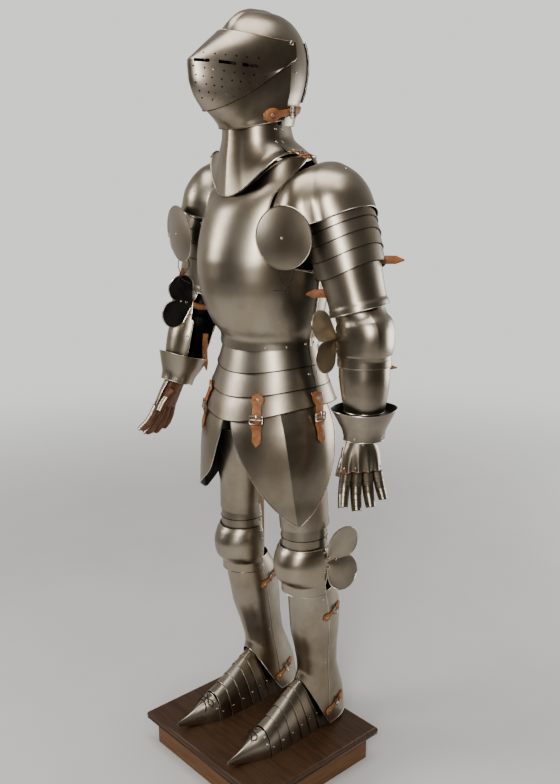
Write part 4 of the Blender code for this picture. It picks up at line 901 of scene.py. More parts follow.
helm_rivets = [spot_on(SKULL, angle, 1.730) for angle in (102, 258)]
helm_rivets += [spot_on(SKULL, angle, height, out=NAPE_PROUD)
                for angle in (144, 216) for height in (1.785, 1.684)]
points = []
turns = np.linspace(HELMET_STRAP[0][0], HELMET_STRAP[-1][0], 49).tolist()
for turn in turns:
    height = float(np.interp(turn, *zip(*HELMET_STRAP)))
    pair = [level_on(SKULL, turn, height + rise, STRAP_THICK + HELMET_STRAP_PROUD) for rise in (0, 0.004)]
    points.append([ON_PLINTH @ point for point in pair])
reach = len(turns) - 1
stations = []
for n in range(len(turns)):
    head = 0.0155 * math.sqrt(max(0.02, 1 - ((n - 8) / 8) ** 2)) if n < 16 else 0
    tail = HELMET_STRAP_HALF * math.sqrt(max(0.02, 1 - ((n - reach + 5) / 5) ** 2)) if n > reach - 5 else 1
    middle, across, out, _ = station_on(points, n, 0)
    out = out if out.dot(middle - ON_PLINTH @ Vector((0, 0, 1.64))) > 0 else -out
    wide = min(tail, HELMET_STRAP_HALF * (0.86 if n < reach / 2 else 1.0))
    stations.append((middle, across, out, max(head, wide)))
leather_band("helmet_strap_leather", stations, "helmet_strap")
buckle("helmet_buckle", (stations[30][0], stations[30][1], stations[30][2], 0), HELMET_STRAP_HALF, 0.016)
keeper("helmet_keeper", stations[36], HELMET_STRAP_HALF, 0.007)
helm_rivets.append((stations[8][0], stations[8][2]))
rivet_heads("helmet_rivets", helm_rivets)


# ---------------------------------------------------------------------------------------------------
# Pauldrons: a domed plate over each shoulder that spreads to the chest, over four lames that lap down
# the upper arm. Rivets at the front and at the back let real lames slide on leathers.

Joint = namedtuple("Joint", "out ahead height")
ARMS = {"left": (1, Joint(0.205, 0.050, 1.450), Joint(0.295, 0.070, 1.150), Joint(0.305, 0.066, 0.908)),
        "right": (-1, Joint(0.197, 0.058, 1.450), Joint(0.288, 0.032, 1.162), Joint(0.297, -0.040, 0.952))}
PAULDRON = [Ring(0.086, 0.000, 0.000, 0.004, 0.006, 0.006, 0.0, -90, 270),
            Ring(0.079, 0.000, 0.000, 0.027, 0.036, 0.030, 0.0, -90, 270),
            Ring(0.062, 0.000, 0.000, 0.050, 0.070, 0.052, 0.0, -66, 262),
            Ring(0.034, -0.006, -0.004, 0.074, 0.092, 0.074, 0.0, -48, 240),
            Ring(0.000, -0.010, -0.006, 0.087, 0.101, 0.087, 0.0, -43, 228),
            Ring(-0.038, -0.012, -0.032, 0.0910, 0.0990, 0.0940, 0.0, -38, 214)]
PAULDRON_RIDGE = Ridge(0.50, -38, 60, 2)
PAULDRON_LAMES = [Ring(-0.026, -0.012, -0.030, 0.0855, 0.0925, 0.0865, 0.0, -28, 212),
                  Ring(-0.058, -0.012, -0.030, 0.0868, 0.0930, 0.0895, 0.0, -30, 214),
                  Ring(-0.086, -0.014, -0.030, 0.0858, 0.0900, 0.0915, 0.0, -34, 216),
                  Ring(-0.121, -0.014, -0.022, 0.0838, 0.0860, 0.0900, 0.0, -38, 218),
                  Ring(-0.160, -0.016, -0.017, 0.0810, 0.0815, 0.0880, 0.0, -44, 220)]


def limb_place(top, bottom, side, at_bottom=False):
    """A frame whose Z runs from a limb's lower joint to its upper one, and whose -Y looks forwards."""
    upper = Vector((side * top.out, top.ahead, top.height))
    lower = Vector((side * bottom.out, bottom.ahead, bottom.height))
    up = (upper - lower).normalized()
    back = up.cross(Vector((1, 0, 0))).normalized()
    turn = Matrix((back.cross(up), back, up)).transposed().to_4x4()
    return ON_PLINTH @ Matrix.Translation(lower if at_bottom else upper) @ turn


def edge_rivets(rings, height, side, place, inset=7, ridge=FLAT):
    """A rivet at each end of a plate's arc, at this height."""
    level = min(rings, key=lambda ring: abs(ring.height - height))
    ends = (level.start + inset, level.stop - inset)
    return [spot_on(rings, angle, height, side, place, ridge) for angle in ends]


arm_rivets = {"left": [], "right": []}
for name, (side, shoulder, elbow, wrist) in ARMS.items():
    upper_arm = limb_place(shoulder, elbow, side)
    crown = PAULDRON[0]._replace(height=PAULDRON[0].height + 0.0006, wide=0.0004, fore=0.0004, aft=0.0004)
    rows = plate_rows([crown] + PAULDRON, 84, PAULDRON_RIDGE)
    plate_piece(f"pauldron_{name}_steel", rows, f"pauldron_{name}", side, upper_arm,
                rolls=("bottom",), radius=LIMB_ROLL)
    lames_piece(f"pauldron_lames_{name}_steel", PAULDRON_LAMES, f"pauldron_lames_{name}", 72, side, upper_arm)
    heads = arm_rivets[name]
    heads += [spot_on(PAULDRON, angle, height, side, upper_arm, PAULDRON_RIDGE)
              for angle, height in ((-20, 0.012), (150, 0.020), (96, 0.055))]
    for ring in PAULDRON_LAMES[1:]:
        heads += edge_rivets(PAULDRON_LAMES, ring.height + 0.012, side, upper_arm, 9)


# ---------------------------------------------------------------------------------------------------
# Rondels: a shallow round dish of steel hangs before each armpit, held by a rivet in its middle and
# tied behind with a thin dark waxed lace, whose ends hang below it.

RONDEL_RADIUS, RONDEL_DOME, RONDEL_SIDES = 0.070, 0.009, 18
Rondel = namedtuple("Rondel", "out ahead height turn nod")
RONDELS = {"left": Rondel(0.197, -0.096, 1.371, 20, 0), "right": Rondel(0.190, -0.100, 1.354, 12, 5)}
RONDEL_LACE = ((-0.038, 0.000, -0.122), (-0.018, 0.001, -0.119), (0.003, 0.002, -0.113),
               (0.012, 0.004, -0.098), (0.022, 0.006, -0.080), (0.018, 0.009, -0.062),
               (0.000, 0.010, -0.052), (-0.018, 0.009, -0.062), (-0.024, 0.006, -0.080),
               (-0.010, 0.000, -0.100), (0.006, -0.003, -0.1125), (0.014, -0.004, -0.124))
LACE_THICK, TOE_LACE_THICK, LACE_BACK = 0.0022, 0.0028, 0.004
LACE_STEP = 3.0
RONDEL_SIDES = 72


def lace_finish():
    """A thin dark lace, waxed, with a fine twist."""
    material, shader, where = finish_named("dark waxed lace")
    strands = node_in(material, "ShaderNodeTexWave", {"Vector": where, "Scale": 420.0, "Distortion": 2.0},
                      bands_direction="DIAGONAL").outputs["Fac"]
    tone = between_colours(material, strands, (0.2, (0.010, 0.007, 0.005)), (0.8, (0.045, 0.030, 0.020)))
    material.node_tree.links.new(tone, shader.inputs["Base Color"])
    shader.inputs["Roughness"].default_value = 0.55
    raised(material, shader, (strands, 0.0003, 0.6))
    return material


LACE_FINISH = lace_finish()


def cord_path(route, thick, side, place):
    """Points along a smooth curve through a route's points."""
    knots = [Vector((side * x, y, z)) for x, y, z in route]
    ends = [2 * knots[0] - knots[1]] + knots + [2 * knots[-1] - knots[-2]]
    path = [knots[0]]
    for before, start, stop, after in zip(ends, ends[1:], ends[2:], ends[3:]):
        pieces = max(1, round((stop - start).length / (LACE_STEP * thick)))
        for n in range(1, pieces + 1):
            t = n / pieces
            path.append(0.5 * (2 * start + (stop - before) * t
                               + (2 * before - 5 * start + 4 * stop - after) * t ** 2
                               + (3 * start - before - 3 * stop + after) * t ** 3))
    return [place @ point for point in path]


def lace(name, node, path, thick):
    """A free lace: a round curve through its path."""
    curve = bpy.data.curves.new(name, "CURVE")
    curve.dimensions = "3D"
    curve.bevel_depth = thick / 2
    curve.bevel_resolution = 2
    curve.use_fill_caps = True
    line = curve.splines.new("POLY")
    line.points.add(len(path) - 1)
    for point, at in zip(line.points, path):
        point.co = at.to_4d()
    curve.materials.append(LACE_FINISH)
    cord = bpy.data.objects.new(name, curve)
    bpy.context.scene.collection.objects.link(cord)
    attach(cord, "armour")
    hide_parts(node)


for name, (side, *_) in ARMS.items():
    rondel = RONDELS[name]
    place = (ON_PLINTH @ Matrix.Translation((side * rondel.out, rondel.ahead, rondel.height))
             @ Matrix.Rotation(side * math.radians(rondel.turn), 4, "Z")
             @ Matrix.Rotation(math.radians(rondel.nod), 4, "X"))
    dish = bmesh.new()
    rows = []
    for share in np.linspace(1.0, 0.0, 16).tolist():
        far, dome = RONDEL_RADIUS * share, RONDEL_DOME * (1 - share ** 2)
        rows.append([Vector((far * math.cos(t), -dome, -far * math.sin(t)))
                     for t in np.linspace(0, 2 * math.pi, RONDEL_SIDES + 1).tolist()])
    walled(dish, rows)
    roll_on(dish, rows[0], LIMB_ROLL, 6, closed=True)
    piece_from(f"rondel_{name}_steel", dish, PLATE_FINISH, replaced=[f"rondel_{name}"], place=place)
    face = place.to_3x3() @ Vector((0, -1, 0))
    arm_rivets[name].append((place @ Vector((0, -RONDEL_DOME, 0)), face))
    hanging = Matrix.Translation(place.translation + Vector((0, LACE_BACK, 0)))
    lace(f"rondel_lace_{name}_cord", f"rondel_lace_{name}", cord_path(RONDEL_LACE, LACE_THICK, side, hanging),
         LACE_THICK)


# ---------------------------------------------------------------------------------------------------
# Rerebraces, couters and vambraces: a tube plate on the upper arm with a bead above its lower edge,
# an elbow cup with a ridge and a wing of two lobes, and a tube plate on the forearm. Each is open on
# the inside of the arm, where leather straps close it.

REREBRACE = [Ring(-0.140, 0.0, 0.0, 0.0745, 0.0750, 0.0795, 0.0, -56, 236),
             Ring(-0.244, 0.0, 0.0, 0.0675, 0.0675, 0.0715, 0.0, -54, 234),
             Ring(-0.248, 0.0, 0.0, 0.0695, 0.0690, 0.0735, 0.0, -54, 234),
             Ring(-0.262, 0.0, 0.0, 0.0700, 0.0695, 0.0740, 0.0, -52, 234)]
COUTER = [Ring(0.056, 0.0, 0.0, 0.0570, 0.0580, 0.0600, 0.0, -46, 222),
          Ring(0.036, 0.0, 0.0, 0.0585, 0.0600, 0.0620, 0.0, -44, 220),
          Ring(0.020, 0.0, 0.0, 0.0665, 0.0655, 0.0700, 0.0, -42, 216),
          Ring(0.000, 0.0, 0.0, 0.0690, 0.0670, 0.0725, 0.0, -38, 212),
          Ring(-0.030, 0.0, 0.0, 0.0675, 0.0660, 0.0695, 0.0, -42, 216),
          Ring(-0.046, 0.0, 0.0, 0.0655, 0.0650, 0.0660, 0.0, -44, 218),
          Ring(-0.050, 0.0, 0.0, 0.0635, 0.0635, 0.0645, 0.0, -44, 218),
          Ring(-0.076, 0.0, 0.0, 0.0630, 0.0635, 0.0640, 0.0, -50, 222)]
COUTER_RIDGE = Ridge(0.09, 66, 24, 1)
ELBOW_SPAN = 0.045
VAMBRACE = [Ring(-0.060, 0.0, 0.0, 0.0600, 0.0600, 0.0605, 0.0, -52, 228),
            Ring(-0.100, 0.0, 0.0, 0.0600, 0.0600, 0.0605, 0.0, -56, 230),
            Ring(-0.140, 0.0, 0.0, 0.0560, 0.0560, 0.0570, 0.0, -60, 232),
            Ring(-0.186, 0.0, 0.0, 0.0480, 0.0470, 0.0480, 0.0, -64, 236)]
Wing = namedtuple("Wing", "distance angle radius curl")
ELBOW_WING = Wing(0.058, 38, 0.036, 0.010)
ELBOW_WING_ROOT, ELBOW_WING_TURN = (-0.0420, -0.0515, -0.005), 14
WING_LIMIT, WING_STUB, WING_DOME = 112, 0.014, 0.12
COUTER_KEEL, KEEL_SPAN, KEEL_MIDDLE, KEEL_REACH = 0.15, 44, -0.004, 0.056
# The straps of the arms, as far as they show: half their width, and their route
ARM_STRAPS = {
    "left_front": (0.0105, ((0.216, 0.034, 1.236), (0.205, 0.022, 1.236), (0.190, 0.006, 1.235),
                            (0.178, -0.008, 1.234))),
    "left_back": (0.0098, ((0.285, 0.113, 1.312), (0.300, 0.130, 1.314), (0.316, 0.147, 1.314),
                           (0.329, 0.162, 1.313))),
    "left_fore": (0.0065, ((0.322, 0.100, 1.066), (0.336, 0.116, 1.068), (0.347, 0.129, 1.066))),
    "right_upper": (0.0095, ((-0.275, -0.036, 1.246), (-0.262, -0.012, 1.236), (-0.259, 0.008, 1.225),
                             (-0.262, 0.028, 1.214))),
    "right_elbow": (0.0075, ((-0.272, -0.052, 1.196), (-0.256, -0.030, 1.166), (-0.243, -0.002, 1.149),
                             (-0.240, 0.030, 1.144), (-0.246, 0.060, 1.150))),
    "right_wrist": (0.0075, ((-0.249, 0.022, 1.072), (-0.251, 0.020, 1.040), (-0.252, 0.020, 1.009),
                             (-0.250, 0.023, 0.968)))}


def lobe_reach(wing, angle):
    """How far the outline of a wing is from its root, in one direction."""
    reach = WING_STUB
    for lean in (-wing.angle, wing.angle):
        off = math.radians(angle - lean)
        under = wing.radius ** 2 - (wing.distance * math.sin(off)) ** 2
        if under > 0 and math.cos(off) > 0:
            reach = max(reach, wing.distance * math.cos(off) + math.sqrt(under))
    return reach


def add_wing(mesh_edit, wing, place, side, finishes=(0, 1)):
    """A fan of two round lobes that spreads along -Y from its root, curled outwards, with a rolled rim."""
    rows, angles = [], [-WING_LIMIT + 2 * WING_LIMIT * n / 96 for n in range(97)]
    for share in np.linspace(0.0, 1.0, 15).tolist():
        row = []
        for angle in angles:
            far, turn = share * lobe_reach(wing, angle), math.radians(angle)
            curl = wing.curl * (far / (wing.distance + wing.radius)) ** 2
            lobe = max(0.0, 1 - ((abs(angle) - wing.angle) / wing.angle) ** 2)
            dish = WING_DOME * wing.radius * math.sin(math.pi * share) ** 0.8 * lobe
            row.append(place @ Vector((side * (curl + dish), -far * math.cos(turn), far * math.sin(turn))))
        rows.append(row)
    if side > 0:
        rows = [row[::-1] for row in rows]
    walled(mesh_edit, rows, outside=finishes[0], inside=finishes[1])
    roll_on(mesh_edit, rows[-1], FULL_ROLL, 6)


for name, (side, shoulder, elbow, wrist) in ARMS.items():
    upper_arm, forearm = limb_place(shoulder, elbow, side), limb_place(elbow, wrist, side)
    heads = arm_rivets[name]
    rerebrace = plate_rows(REREBRACE, 72, FLAT, SMALL_STEP)
    plate_piece(f"rerebrace_{name}_steel", rerebrace, f"rerebrace_{name}", side,
                upper_arm, rolls=("bottom", "start", "stop"), radius=SLIM_ROLL)
    plate_piece(f"vambrace_{name}_steel", plate_rows(VAMBRACE, 72), f"vambrace_{name}", side, forearm,
                rolls=("start", "stop", "bottom"), radius=FULL_ROLL)

    upper, fore = limb_place(shoulder, elbow, 1).to_quaternion(), limb_place(elbow, wrist, 1).to_quaternion()
    centre = Vector((elbow.out, elbow.ahead, elbow.height))
    cup, rows = bmesh.new(), []
    for ring in smoothed(COUTER, SMALL_STEP):
        fade = max(0.0, 1 - ((ring.height - KEEL_MIDDLE) / KEEL_REACH) ** 2)
        keel = COUTER_RIDGE._replace(rise=COUTER_KEEL * fade, span=KEEL_SPAN)
        share = min(1.0, max(0.0, 0.5 + ring.height / (2 * ELBOW_SPAN)))
        turn = fore.slerp(upper, share)
        rows.append([turn @ oval(ring, angle, keel) + centre for angle in arc_of(ring, 72, keel)])
    walled(cup, rows, side)
    roll_round(cup, rows, LIP, side)
    middle = limb_place(shoulder, elbow, side).to_quaternion().slerp(forearm.to_quaternion(), 0.5)
    at_elbow = (Matrix.Translation((side * elbow.out, elbow.ahead, elbow.height))
                @ middle.to_matrix().to_4x4())
    root = Vector(ELBOW_WING_ROOT)
    root.x *= side
    fan = at_elbow @ Matrix.Translation(root) @ Matrix.Rotation(side * math.radians(ELBOW_WING_TURN), 4, "Z")
    add_wing(cup, ELBOW_WING, fan, -side, (1, 0))
    piece_from(f"couter_{name}_steel", cup, PLATE_FINISH, replaced=[f"couter_{name}"], sharp=9,
               place=ON_PLINTH)
    fan_out = (ON_PLINTH @ fan).to_3x3() @ Vector((-side, 0, 0))
    for reach in (0.020, 0.036):
        heads.append((ON_PLINTH @ fan @ Vector((-side * 0.002, -reach, 0)), fan_out))
    for n in range(5):
        for column in (3, -4):
            row = rows[6 + n * (len(rows) - 12) // 4]
            point = row[column]
            out = (point - centre - Vector((0, 0, (point - centre).z))).normalized()
            heads.append((ON_PLINTH @ Vector((side * point.x, point.y, point.z)),
                          Vector((side * out.x, out.y, out.z))))
    for height in (-0.105, -0.160):
        heads += edge_rivets(VAMBRACE, height, side, forearm, 8)
    rivet_heads(f"arm_rivets_{name}", heads, LIMB_HEAD)

for name, (half, route) in ARM_STRAPS.items():
    line = cord_path(route, half, 1, ON_PLINTH)
    out = Vector((0.744, -0.668, 0.0))
    stations = []
    for n, point in enumerate(line):
        ahead = (line[min(n + 1, len(line) - 1)] - line[max(n - 1, 0)]).normalized()
        across = out.cross(ahead).normalized()
        left = (len(line) - 1 - n) / (0.22 * len(line))
        stations.append((point, across, ahead.cross(across), half * math.sqrt(max(0.03, min(1.0, left)))))
    leather_band(f"arm_strap_{name}", stations, thick=0.0024)


# ---------------------------------------------------------------------------------------------------
# Gauntlets: a flared cuff, a hand plate fluted along the four bones of the hand, and scales riveted
# down the fingers of a brown leather glove.

Hand = namedtuple("Hand", "outwards bend finger_bend shift")
HANDS = {"left": Hand(58, 9, 10, -0.010), "right": Hand(66, 8, 8, 0.0)}
CUFF = [Ring(0.062, -0.006, 0.004, 0.0790, 0.0640, 0.0640, 0.0, -90, 270),
        Ring(0.036, -0.003, 0.002, 0.0650, 0.0560, 0.0560, 0.0, -90, 270),
        Ring(0.004, 0.000, 0.000, 0.0510, 0.0450, 0.0440, 0.0, -90, 270),
        Ring(-0.012, 0.000, 0.000, 0.0490, 0.0430, 0.0420, 0.0, -90, 270)]
HAND_PLATE = [Ring(-0.014, 0.0, 0.0, 0.0362, 0.0295, 0.0, 0.000, -84, 84),
              Ring(-0.046, 0.0, 0.0, 0.0460, 0.0280, 0.0, 0.000, -84, 84),
              Ring(-0.086, 0.0, 0.0, 0.0500, 0.0240, 0.0, 0.000, -84, 84)]
Palm = namedtuple("Palm", "height wide thick groove")
GLOVE_ROWS = [Palm(0.004, 0.031, 0.0200, 0.0),
              Palm(-0.040, 0.037, 0.0180, 0.0),
              Palm(-0.086, 0.044, 0.0150, 0.004)]
FINGER_LENGTHS, FINGER_LONG = (0.90, 1.0, 0.94, 0.78), 0.094
FINGER_RADIUS, FINGER_CURL, SCALES, SCALE_LAP = 0.0122, (4, 10, 14), 6, 1.35
FINGER_SPACE, FINGER_SPREAD = 0.0240, 6.5
THUMB_ROOT, THUMB_TIP = (-0.030, 0.017, -0.036), (-0.052, 0.014, -0.100)
THUMB_RADIUS, THUMB_BOW, THUMB_SCALES, THUMB_SCALE_RADIUS = 0.0105, 0.004, 4, 0.0092
# Where along it a tip starts to round off, and the square of what is left
FINGER_TIP, THUMB_END = (0.88, 0.0144), (0.86, 0.0196)
KNUCKLES, FLUTE = 0.086, 0.0030
KNUCKLE_RIVETS = (12, 35, 61, 84)
GLOVE_LEATHER = leather("brown glove leather", (0.155, 0.068, 0.032), (0.070, 0.030, 0.015), 700)


def tube_along(mesh_edit, centres, radii, flats, across, sides=16, slot=0):
    """A closed tube through centres, each with its radius across and how flat it is."""
    rounds = []
    for n, centre in enumerate(centres):
        ahead = (centres[min(n + 1, len(centres) - 1)] - centres[max(n - 1, 0)]).normalized()
        out = ahead.cross(across).normalized()
        turns = [2 * math.pi * k / sides for k in range(sides)]
        section = [across * math.cos(t) + flats[n] * out * math.sin(t) for t in turns]
        rounds.append([mesh_edit.verts.new(centre + radii[n] * way) for way in section])
    for near, far in zip(rounds, rounds[1:]):
        for k in range(sides):
            mesh_edit.faces.new((near[k - 1], near[k], far[k], far[k - 1])).material_index = slot
    mesh_edit.faces.new(rounds[0]).material_index = slot
    mesh_edit.faces.new(reversed(rounds[-1])).material_index = slot


def round_tip(share, start, left):
    """How wide a finger is near its end, as a share of its width."""
    return math.sqrt(max(0.03, 1 - max(0, share - start) ** 2 / left))


def bent_line(root, down, across, long, bends, steps=24):
    """A finger's middle line from its knuckle: it turns at each of its joints, towards the palm."""
    points, heading, at = [root], down.copy(), root.copy()
    for n in range(steps):
        joint = {0: 0, steps * 4 // 9: 1, steps * 7 // 10: 2}.get(n)
        if joint is not None:
            heading = Matrix.Rotation(math.radians(bends[joint]), 3, across) @ heading
        at = at + heading * long / steps
        points.append(at.copy())
    return points


def scales_on(mesh_edit, line, across, radius, count, taper=0.20, span=100):
    """Half-round scales that lap down a finger, each over the next one."""
    last = len(line) - 1
    for n in range(count):
        start, stop = n / count, min(1.0, (n + SCALE_LAP) / count)
        rows = []
        for k in range(5):
            t = start + (stop - start) * k / 4
            at = min(last - 1, int(t * last))
            point = line[at].lerp(line[at + 1], t * last - at)
            ahead = (line[min(at + 2, last)] - line[max(at - 1, 0)]).normalized()
            out = ahead.cross(across).normalized()
            size = radius * (1 - taper * t ** 2) + 0.0014 + 0.0012 * (1 - k / 4) ** 0.5 * 0.6
            if k == 4 or stop == 1.0 and k == 3:
                size -= 0.0004 * (k - 2)
            flare = 0.0012 * (k / 4) ** 3
            rows.append([point + (size + flare) * (across * math.sin(a) + out * math.cos(a))
                         for a in np.radians(np.linspace(-span, span, 19)).tolist()])
        walled(mesh_edit, rows, wall=0.0009)
        # Each scale's lower lip is in the near-black steel: painted shade where it laps the next.
        roll_on(mesh_edit, rows[-1], SCALE_ROLL, 5, SHADE_SLOT)


for name, (side, shoulder, elbow, wrist) in ARMS.items():
    held = HANDS[name]
    cuff = (limb_place(elbow, wrist, side, at_bottom=True)
            @ Matrix.Rotation(side * math.radians(held.outwards), 4, "Z"))
    plate_piece(f"gauntlet_cuff_{name}_steel", plate_rows(CUFF, 84), f"gauntlet_cuff_{name}", side, cuff,
                rolls=("top", "bottom"), radius=LIMB_ROLL)
    hand = (cuff @ Matrix.Translation((side * held.shift, 0, 0))
            @ Matrix.Rotation(math.radians(-held.bend), 4, "X"))

    back, rows = bmesh.new(), []
    wrist_edge, knuckle_edge = HAND_PLATE[0].height, HAND_PLATE[-1].height
    for ring in smoothed(HAND_PLATE, SMALL_STEP):
        down = min(1.0, max(0.0, (wrist_edge - ring.height) / (wrist_edge - knuckle_edge)))
        row = []
        for angle in np.linspace(ring.start, ring.stop, 97).tolist():
            point = oval(ring, angle)
            across = point.x / ring.wide
            wave = math.sin(2 * math.pi * across) ** 2
            fade = (1 - abs(across) ** 6) * down ** 2.0
            point.y += FLUTE * (1 - wave) * fade * 1.3 - FLUTE * wave * fade * 0.5
            point.z -= 0.0035 * wave * down ** 6
            row.append(point)
        rows.append(row)
    walled(back, rows, side)
    roll_round(back, rows, FINE_ROLL, side, 0)
    piece_from(f"gauntlet_hand_{name}_steel", back, PLATE_FINISH, replaced=[f"gauntlet_hand_{name}"],
               place=hand)
    heads = []
    for column in KNUCKLE_RIVETS:
        point = rows[-3][column]
        look = hand.to_3x3() @ Vector((side * point.x * 4, -1, 0))
        heads.append((hand @ Vector((side * point.x, point.y, point.z)), look.normalized()))
    heads += [spot_on(HAND_PLATE, angle, -0.024, side, hand) for angle in (-62, 0, 62)]
    heads += [spot_on(CUFF, angle, -0.004, side, cuff) for angle in (-40, 40, 120, 240)]
    rivet_heads(f"gauntlet_rivets_{name}", heads, HAND_HEAD)

    glove, metal = bmesh.new(), bmesh.new()
    across = Vector((1, 0, 0))
    centres, radii, flats = [], [], []
    for row in smoothed(GLOVE_ROWS, 0.006, 1):
        centres.append(Vector((0, 0, row.height)))
        radii.append(row.wide)
        flats.append(row.thick / row.wide)
    tube_along(glove, centres, radii, flats, across, 40)
    for n, share in enumerate(FINGER_LENGTHS):
        aside = side * (n - 1.5) * FINGER_SPACE
        root = Vector((aside, -0.0035, 0.006 - KNUCKLES))
        down = (Matrix.Rotation(math.radians(held.finger_bend + 1.5 * (n - 1)), 3, "X")
                @ Vector((math.sin(math.radians(FINGER_SPREAD * side * (n - 1.5))), 0, -1)).normalized())
        line = bent_line(root, down, -across, FINGER_LONG * share + 0.010, FINGER_CURL)
        size = FINGER_RADIUS * (0.92 if n == 3 else 1.0)
        last = len(line) - 1
        shape = [size * (1 - 0.20 * (k / last) ** 2) * round_tip(k / last, *FINGER_TIP)
                 for k in range(last + 1)]
        tube_along(glove, line, shape, [0.92] * (last + 1), across)
        scales_on(metal, line[3:], across, size, SCALES)
    root, tip = Vector(THUMB_ROOT), Vector(THUMB_TIP)
    root.x, tip.x = side * root.x, side * tip.x
    shares = np.linspace(0, 1, 17).tolist()
    line = [root.lerp(tip, t) + Vector((0, -THUMB_BOW * math.sin(math.pi * t), 0)) for t in shares]
    beside = (tip - root).normalized().cross(Vector((0.6 * side, 1, 0))).normalized()
    shape = [THUMB_RADIUS * (1.08 - 0.28 * t) * round_tip(t, *THUMB_END) for t in shares]
    tube_along(glove, line, shape, [0.95] * len(shares), beside)
    scales_on(metal, line[6:], beside, THUMB_SCALE_RADIUS, THUMB_SCALES)
    bmesh.ops.recalc_face_normals(glove, faces=glove.faces)
    piece_from(f"glove_{name}_leather", glove, [GLOVE_LEATHER], replaced=[f"glove_{name}"],
               place=hand)
    piece_from(f"finger_scales_{name}_steel", metal, PLATE_FINISH, place=hand)


# ---------------------------------------------------------------------------------------------------
# Cuisses and poleyns: one plate on the front and sides of each thigh, two lames over the knee, and a
# round knee cup with a lame below it and a wing of two lobes on its outer side.

KNEE_APART, FOOT_APART, KNEE_HEIGHT, ANKLE_HEIGHT = 0.124, 0.104, 0.450, 0.080
THIGH_LEAN = 0.085
LEG_LIFT = {"left": 0.010, "right": -0.010}
CUISSE = [Ring(0.872, -0.012, 0.0, 0.0780, 0.0820, 0.0760, 0.036, -96, 150),
          Ring(0.800, 0.000, 0.0, 0.0760, 0.0810, 0.0740, 0.038, -96, 150),
          Ring(0.740, 0.000, 0.0, 0.0700, 0.0750, 0.0700, 0.040, -94, 146),
          Ring(0.680, 0.000, 0.0, 0.0630, 0.0670, 0.0650, 0.044, -92, 142),
          Ring(0.612, 0.000, 0.0, 0.0605, 0.0670, 0.0650, 0.047, -92, 138)]
KNEE_LAMES = [Ring(0.627, 0.0, 0.0, 0.0550, 0.0610, 0.0590, 0.047, -108, 130),
              Ring(0.589, 0.0, 0.0, 0.0580, 0.0665, 0.0600, 0.048, -110, 130),
              Ring(0.556, 0.0, 0.0, 0.0585, 0.0680, 0.0600, 0.049, -110, 128)]
POLEYN = [Ring(0.564, 0.0, 0.0, 0.0630, 0.0725, 0.060, 0.050, -98, 100),
          Ring(0.550, 0.0, 0.0, 0.0685, 0.0820, 0.060, 0.050, -98, 100),
          Ring(0.516, 0.0, 0.0, 0.0725, 0.0920, 0.060, 0.050, -98, 100),
          Ring(0.484, 0.0, 0.0, 0.0705, 0.0870, 0.060, 0.050, -98, 100),
          Ring(0.464, 0.0, 0.0, 0.0670, 0.0740, 0.060, 0.052, -98, 98),
          Ring(0.460, 0.0, 0.0, 0.0650, 0.0705, 0.060, 0.054, -98, 96),
          Ring(0.432, 0.0, 0.0, 0.0645, 0.0730, 0.060, 0.060, -96, 94)]
KNEE_WING = Wing(0.064, 38, 0.048, 0.016)
KNEE_WING_ROOT = (0.0720, 0.057, 0.527)

leg_rivets = {"left": [], "right": []}
for name, (side, *_) in ARMS.items():
    thigh = ON_PLINTH @ Matrix.Translation((side * KNEE_APART, 0, LEG_LIFT[name]))
    knee = Matrix.Translation((0, 0, CUISSE[-1].height))
    lean = thigh @ knee @ Matrix.Rotation(-side * THIGH_LEAN, 4, "Y") @ knee.inverted()
    plate_piece(f"cuisse_{name}_steel", plate_rows(CUISSE, 72), f"cuisse_{name}", side, lean,
                rolls=("top", "start", "stop"), radius=LIMB_ROLL)
    lames_piece(f"knee_lames_{name}_steel", KNEE_LAMES, f"knee_lames_{name}", 72, side, thigh)

    cup = bmesh.new()
    rows = plate_rows(POLEYN, 84, FLAT, SMALL_STEP)
    walled(cup, rows, side)
    roll_round(cup, rows, LIP, side)
    root = (Matrix.Translation((side * KNEE_WING_ROOT[0], *KNEE_WING_ROOT[1:]))
            @ Matrix.Rotation(math.pi, 4, "Z"))
    add_wing(cup, KNEE_WING, root, -side)
    piece_from(f"poleyn_{name}_steel", cup, PLATE_FINISH, replaced=[f"poleyn_{name}"], place=thigh)
    heads = leg_rivets[name]
    for reach, drop in ((0.004, 0.012), (0.004, -0.016), (0.030, 0.0)):
        heads.append((thigh @ root @ Vector((-side * 0.003, -reach, drop)),
                      Vector((side, -0.1, 0)).normalized()))
    for height in (0.604, 0.580):
        heads += edge_rivets(KNEE_LAMES, height, side, thigh, 8)
    for height in (0.552, 0.530, 0.500, 0.474, 0.446):
        heads += edge_rivets(POLEYN, height, side, thigh, 5)
    for height in (0.850, 0.640):
        heads += edge_rivets(CUISSE, height, side, lean, 6)


# ---------------------------------------------------------------------------------------------------
# Greaves: a front and a back plate close round the shin, the ankle and the heel. Two leather straps
# on each side buckle them together, at the calf and at the heel.

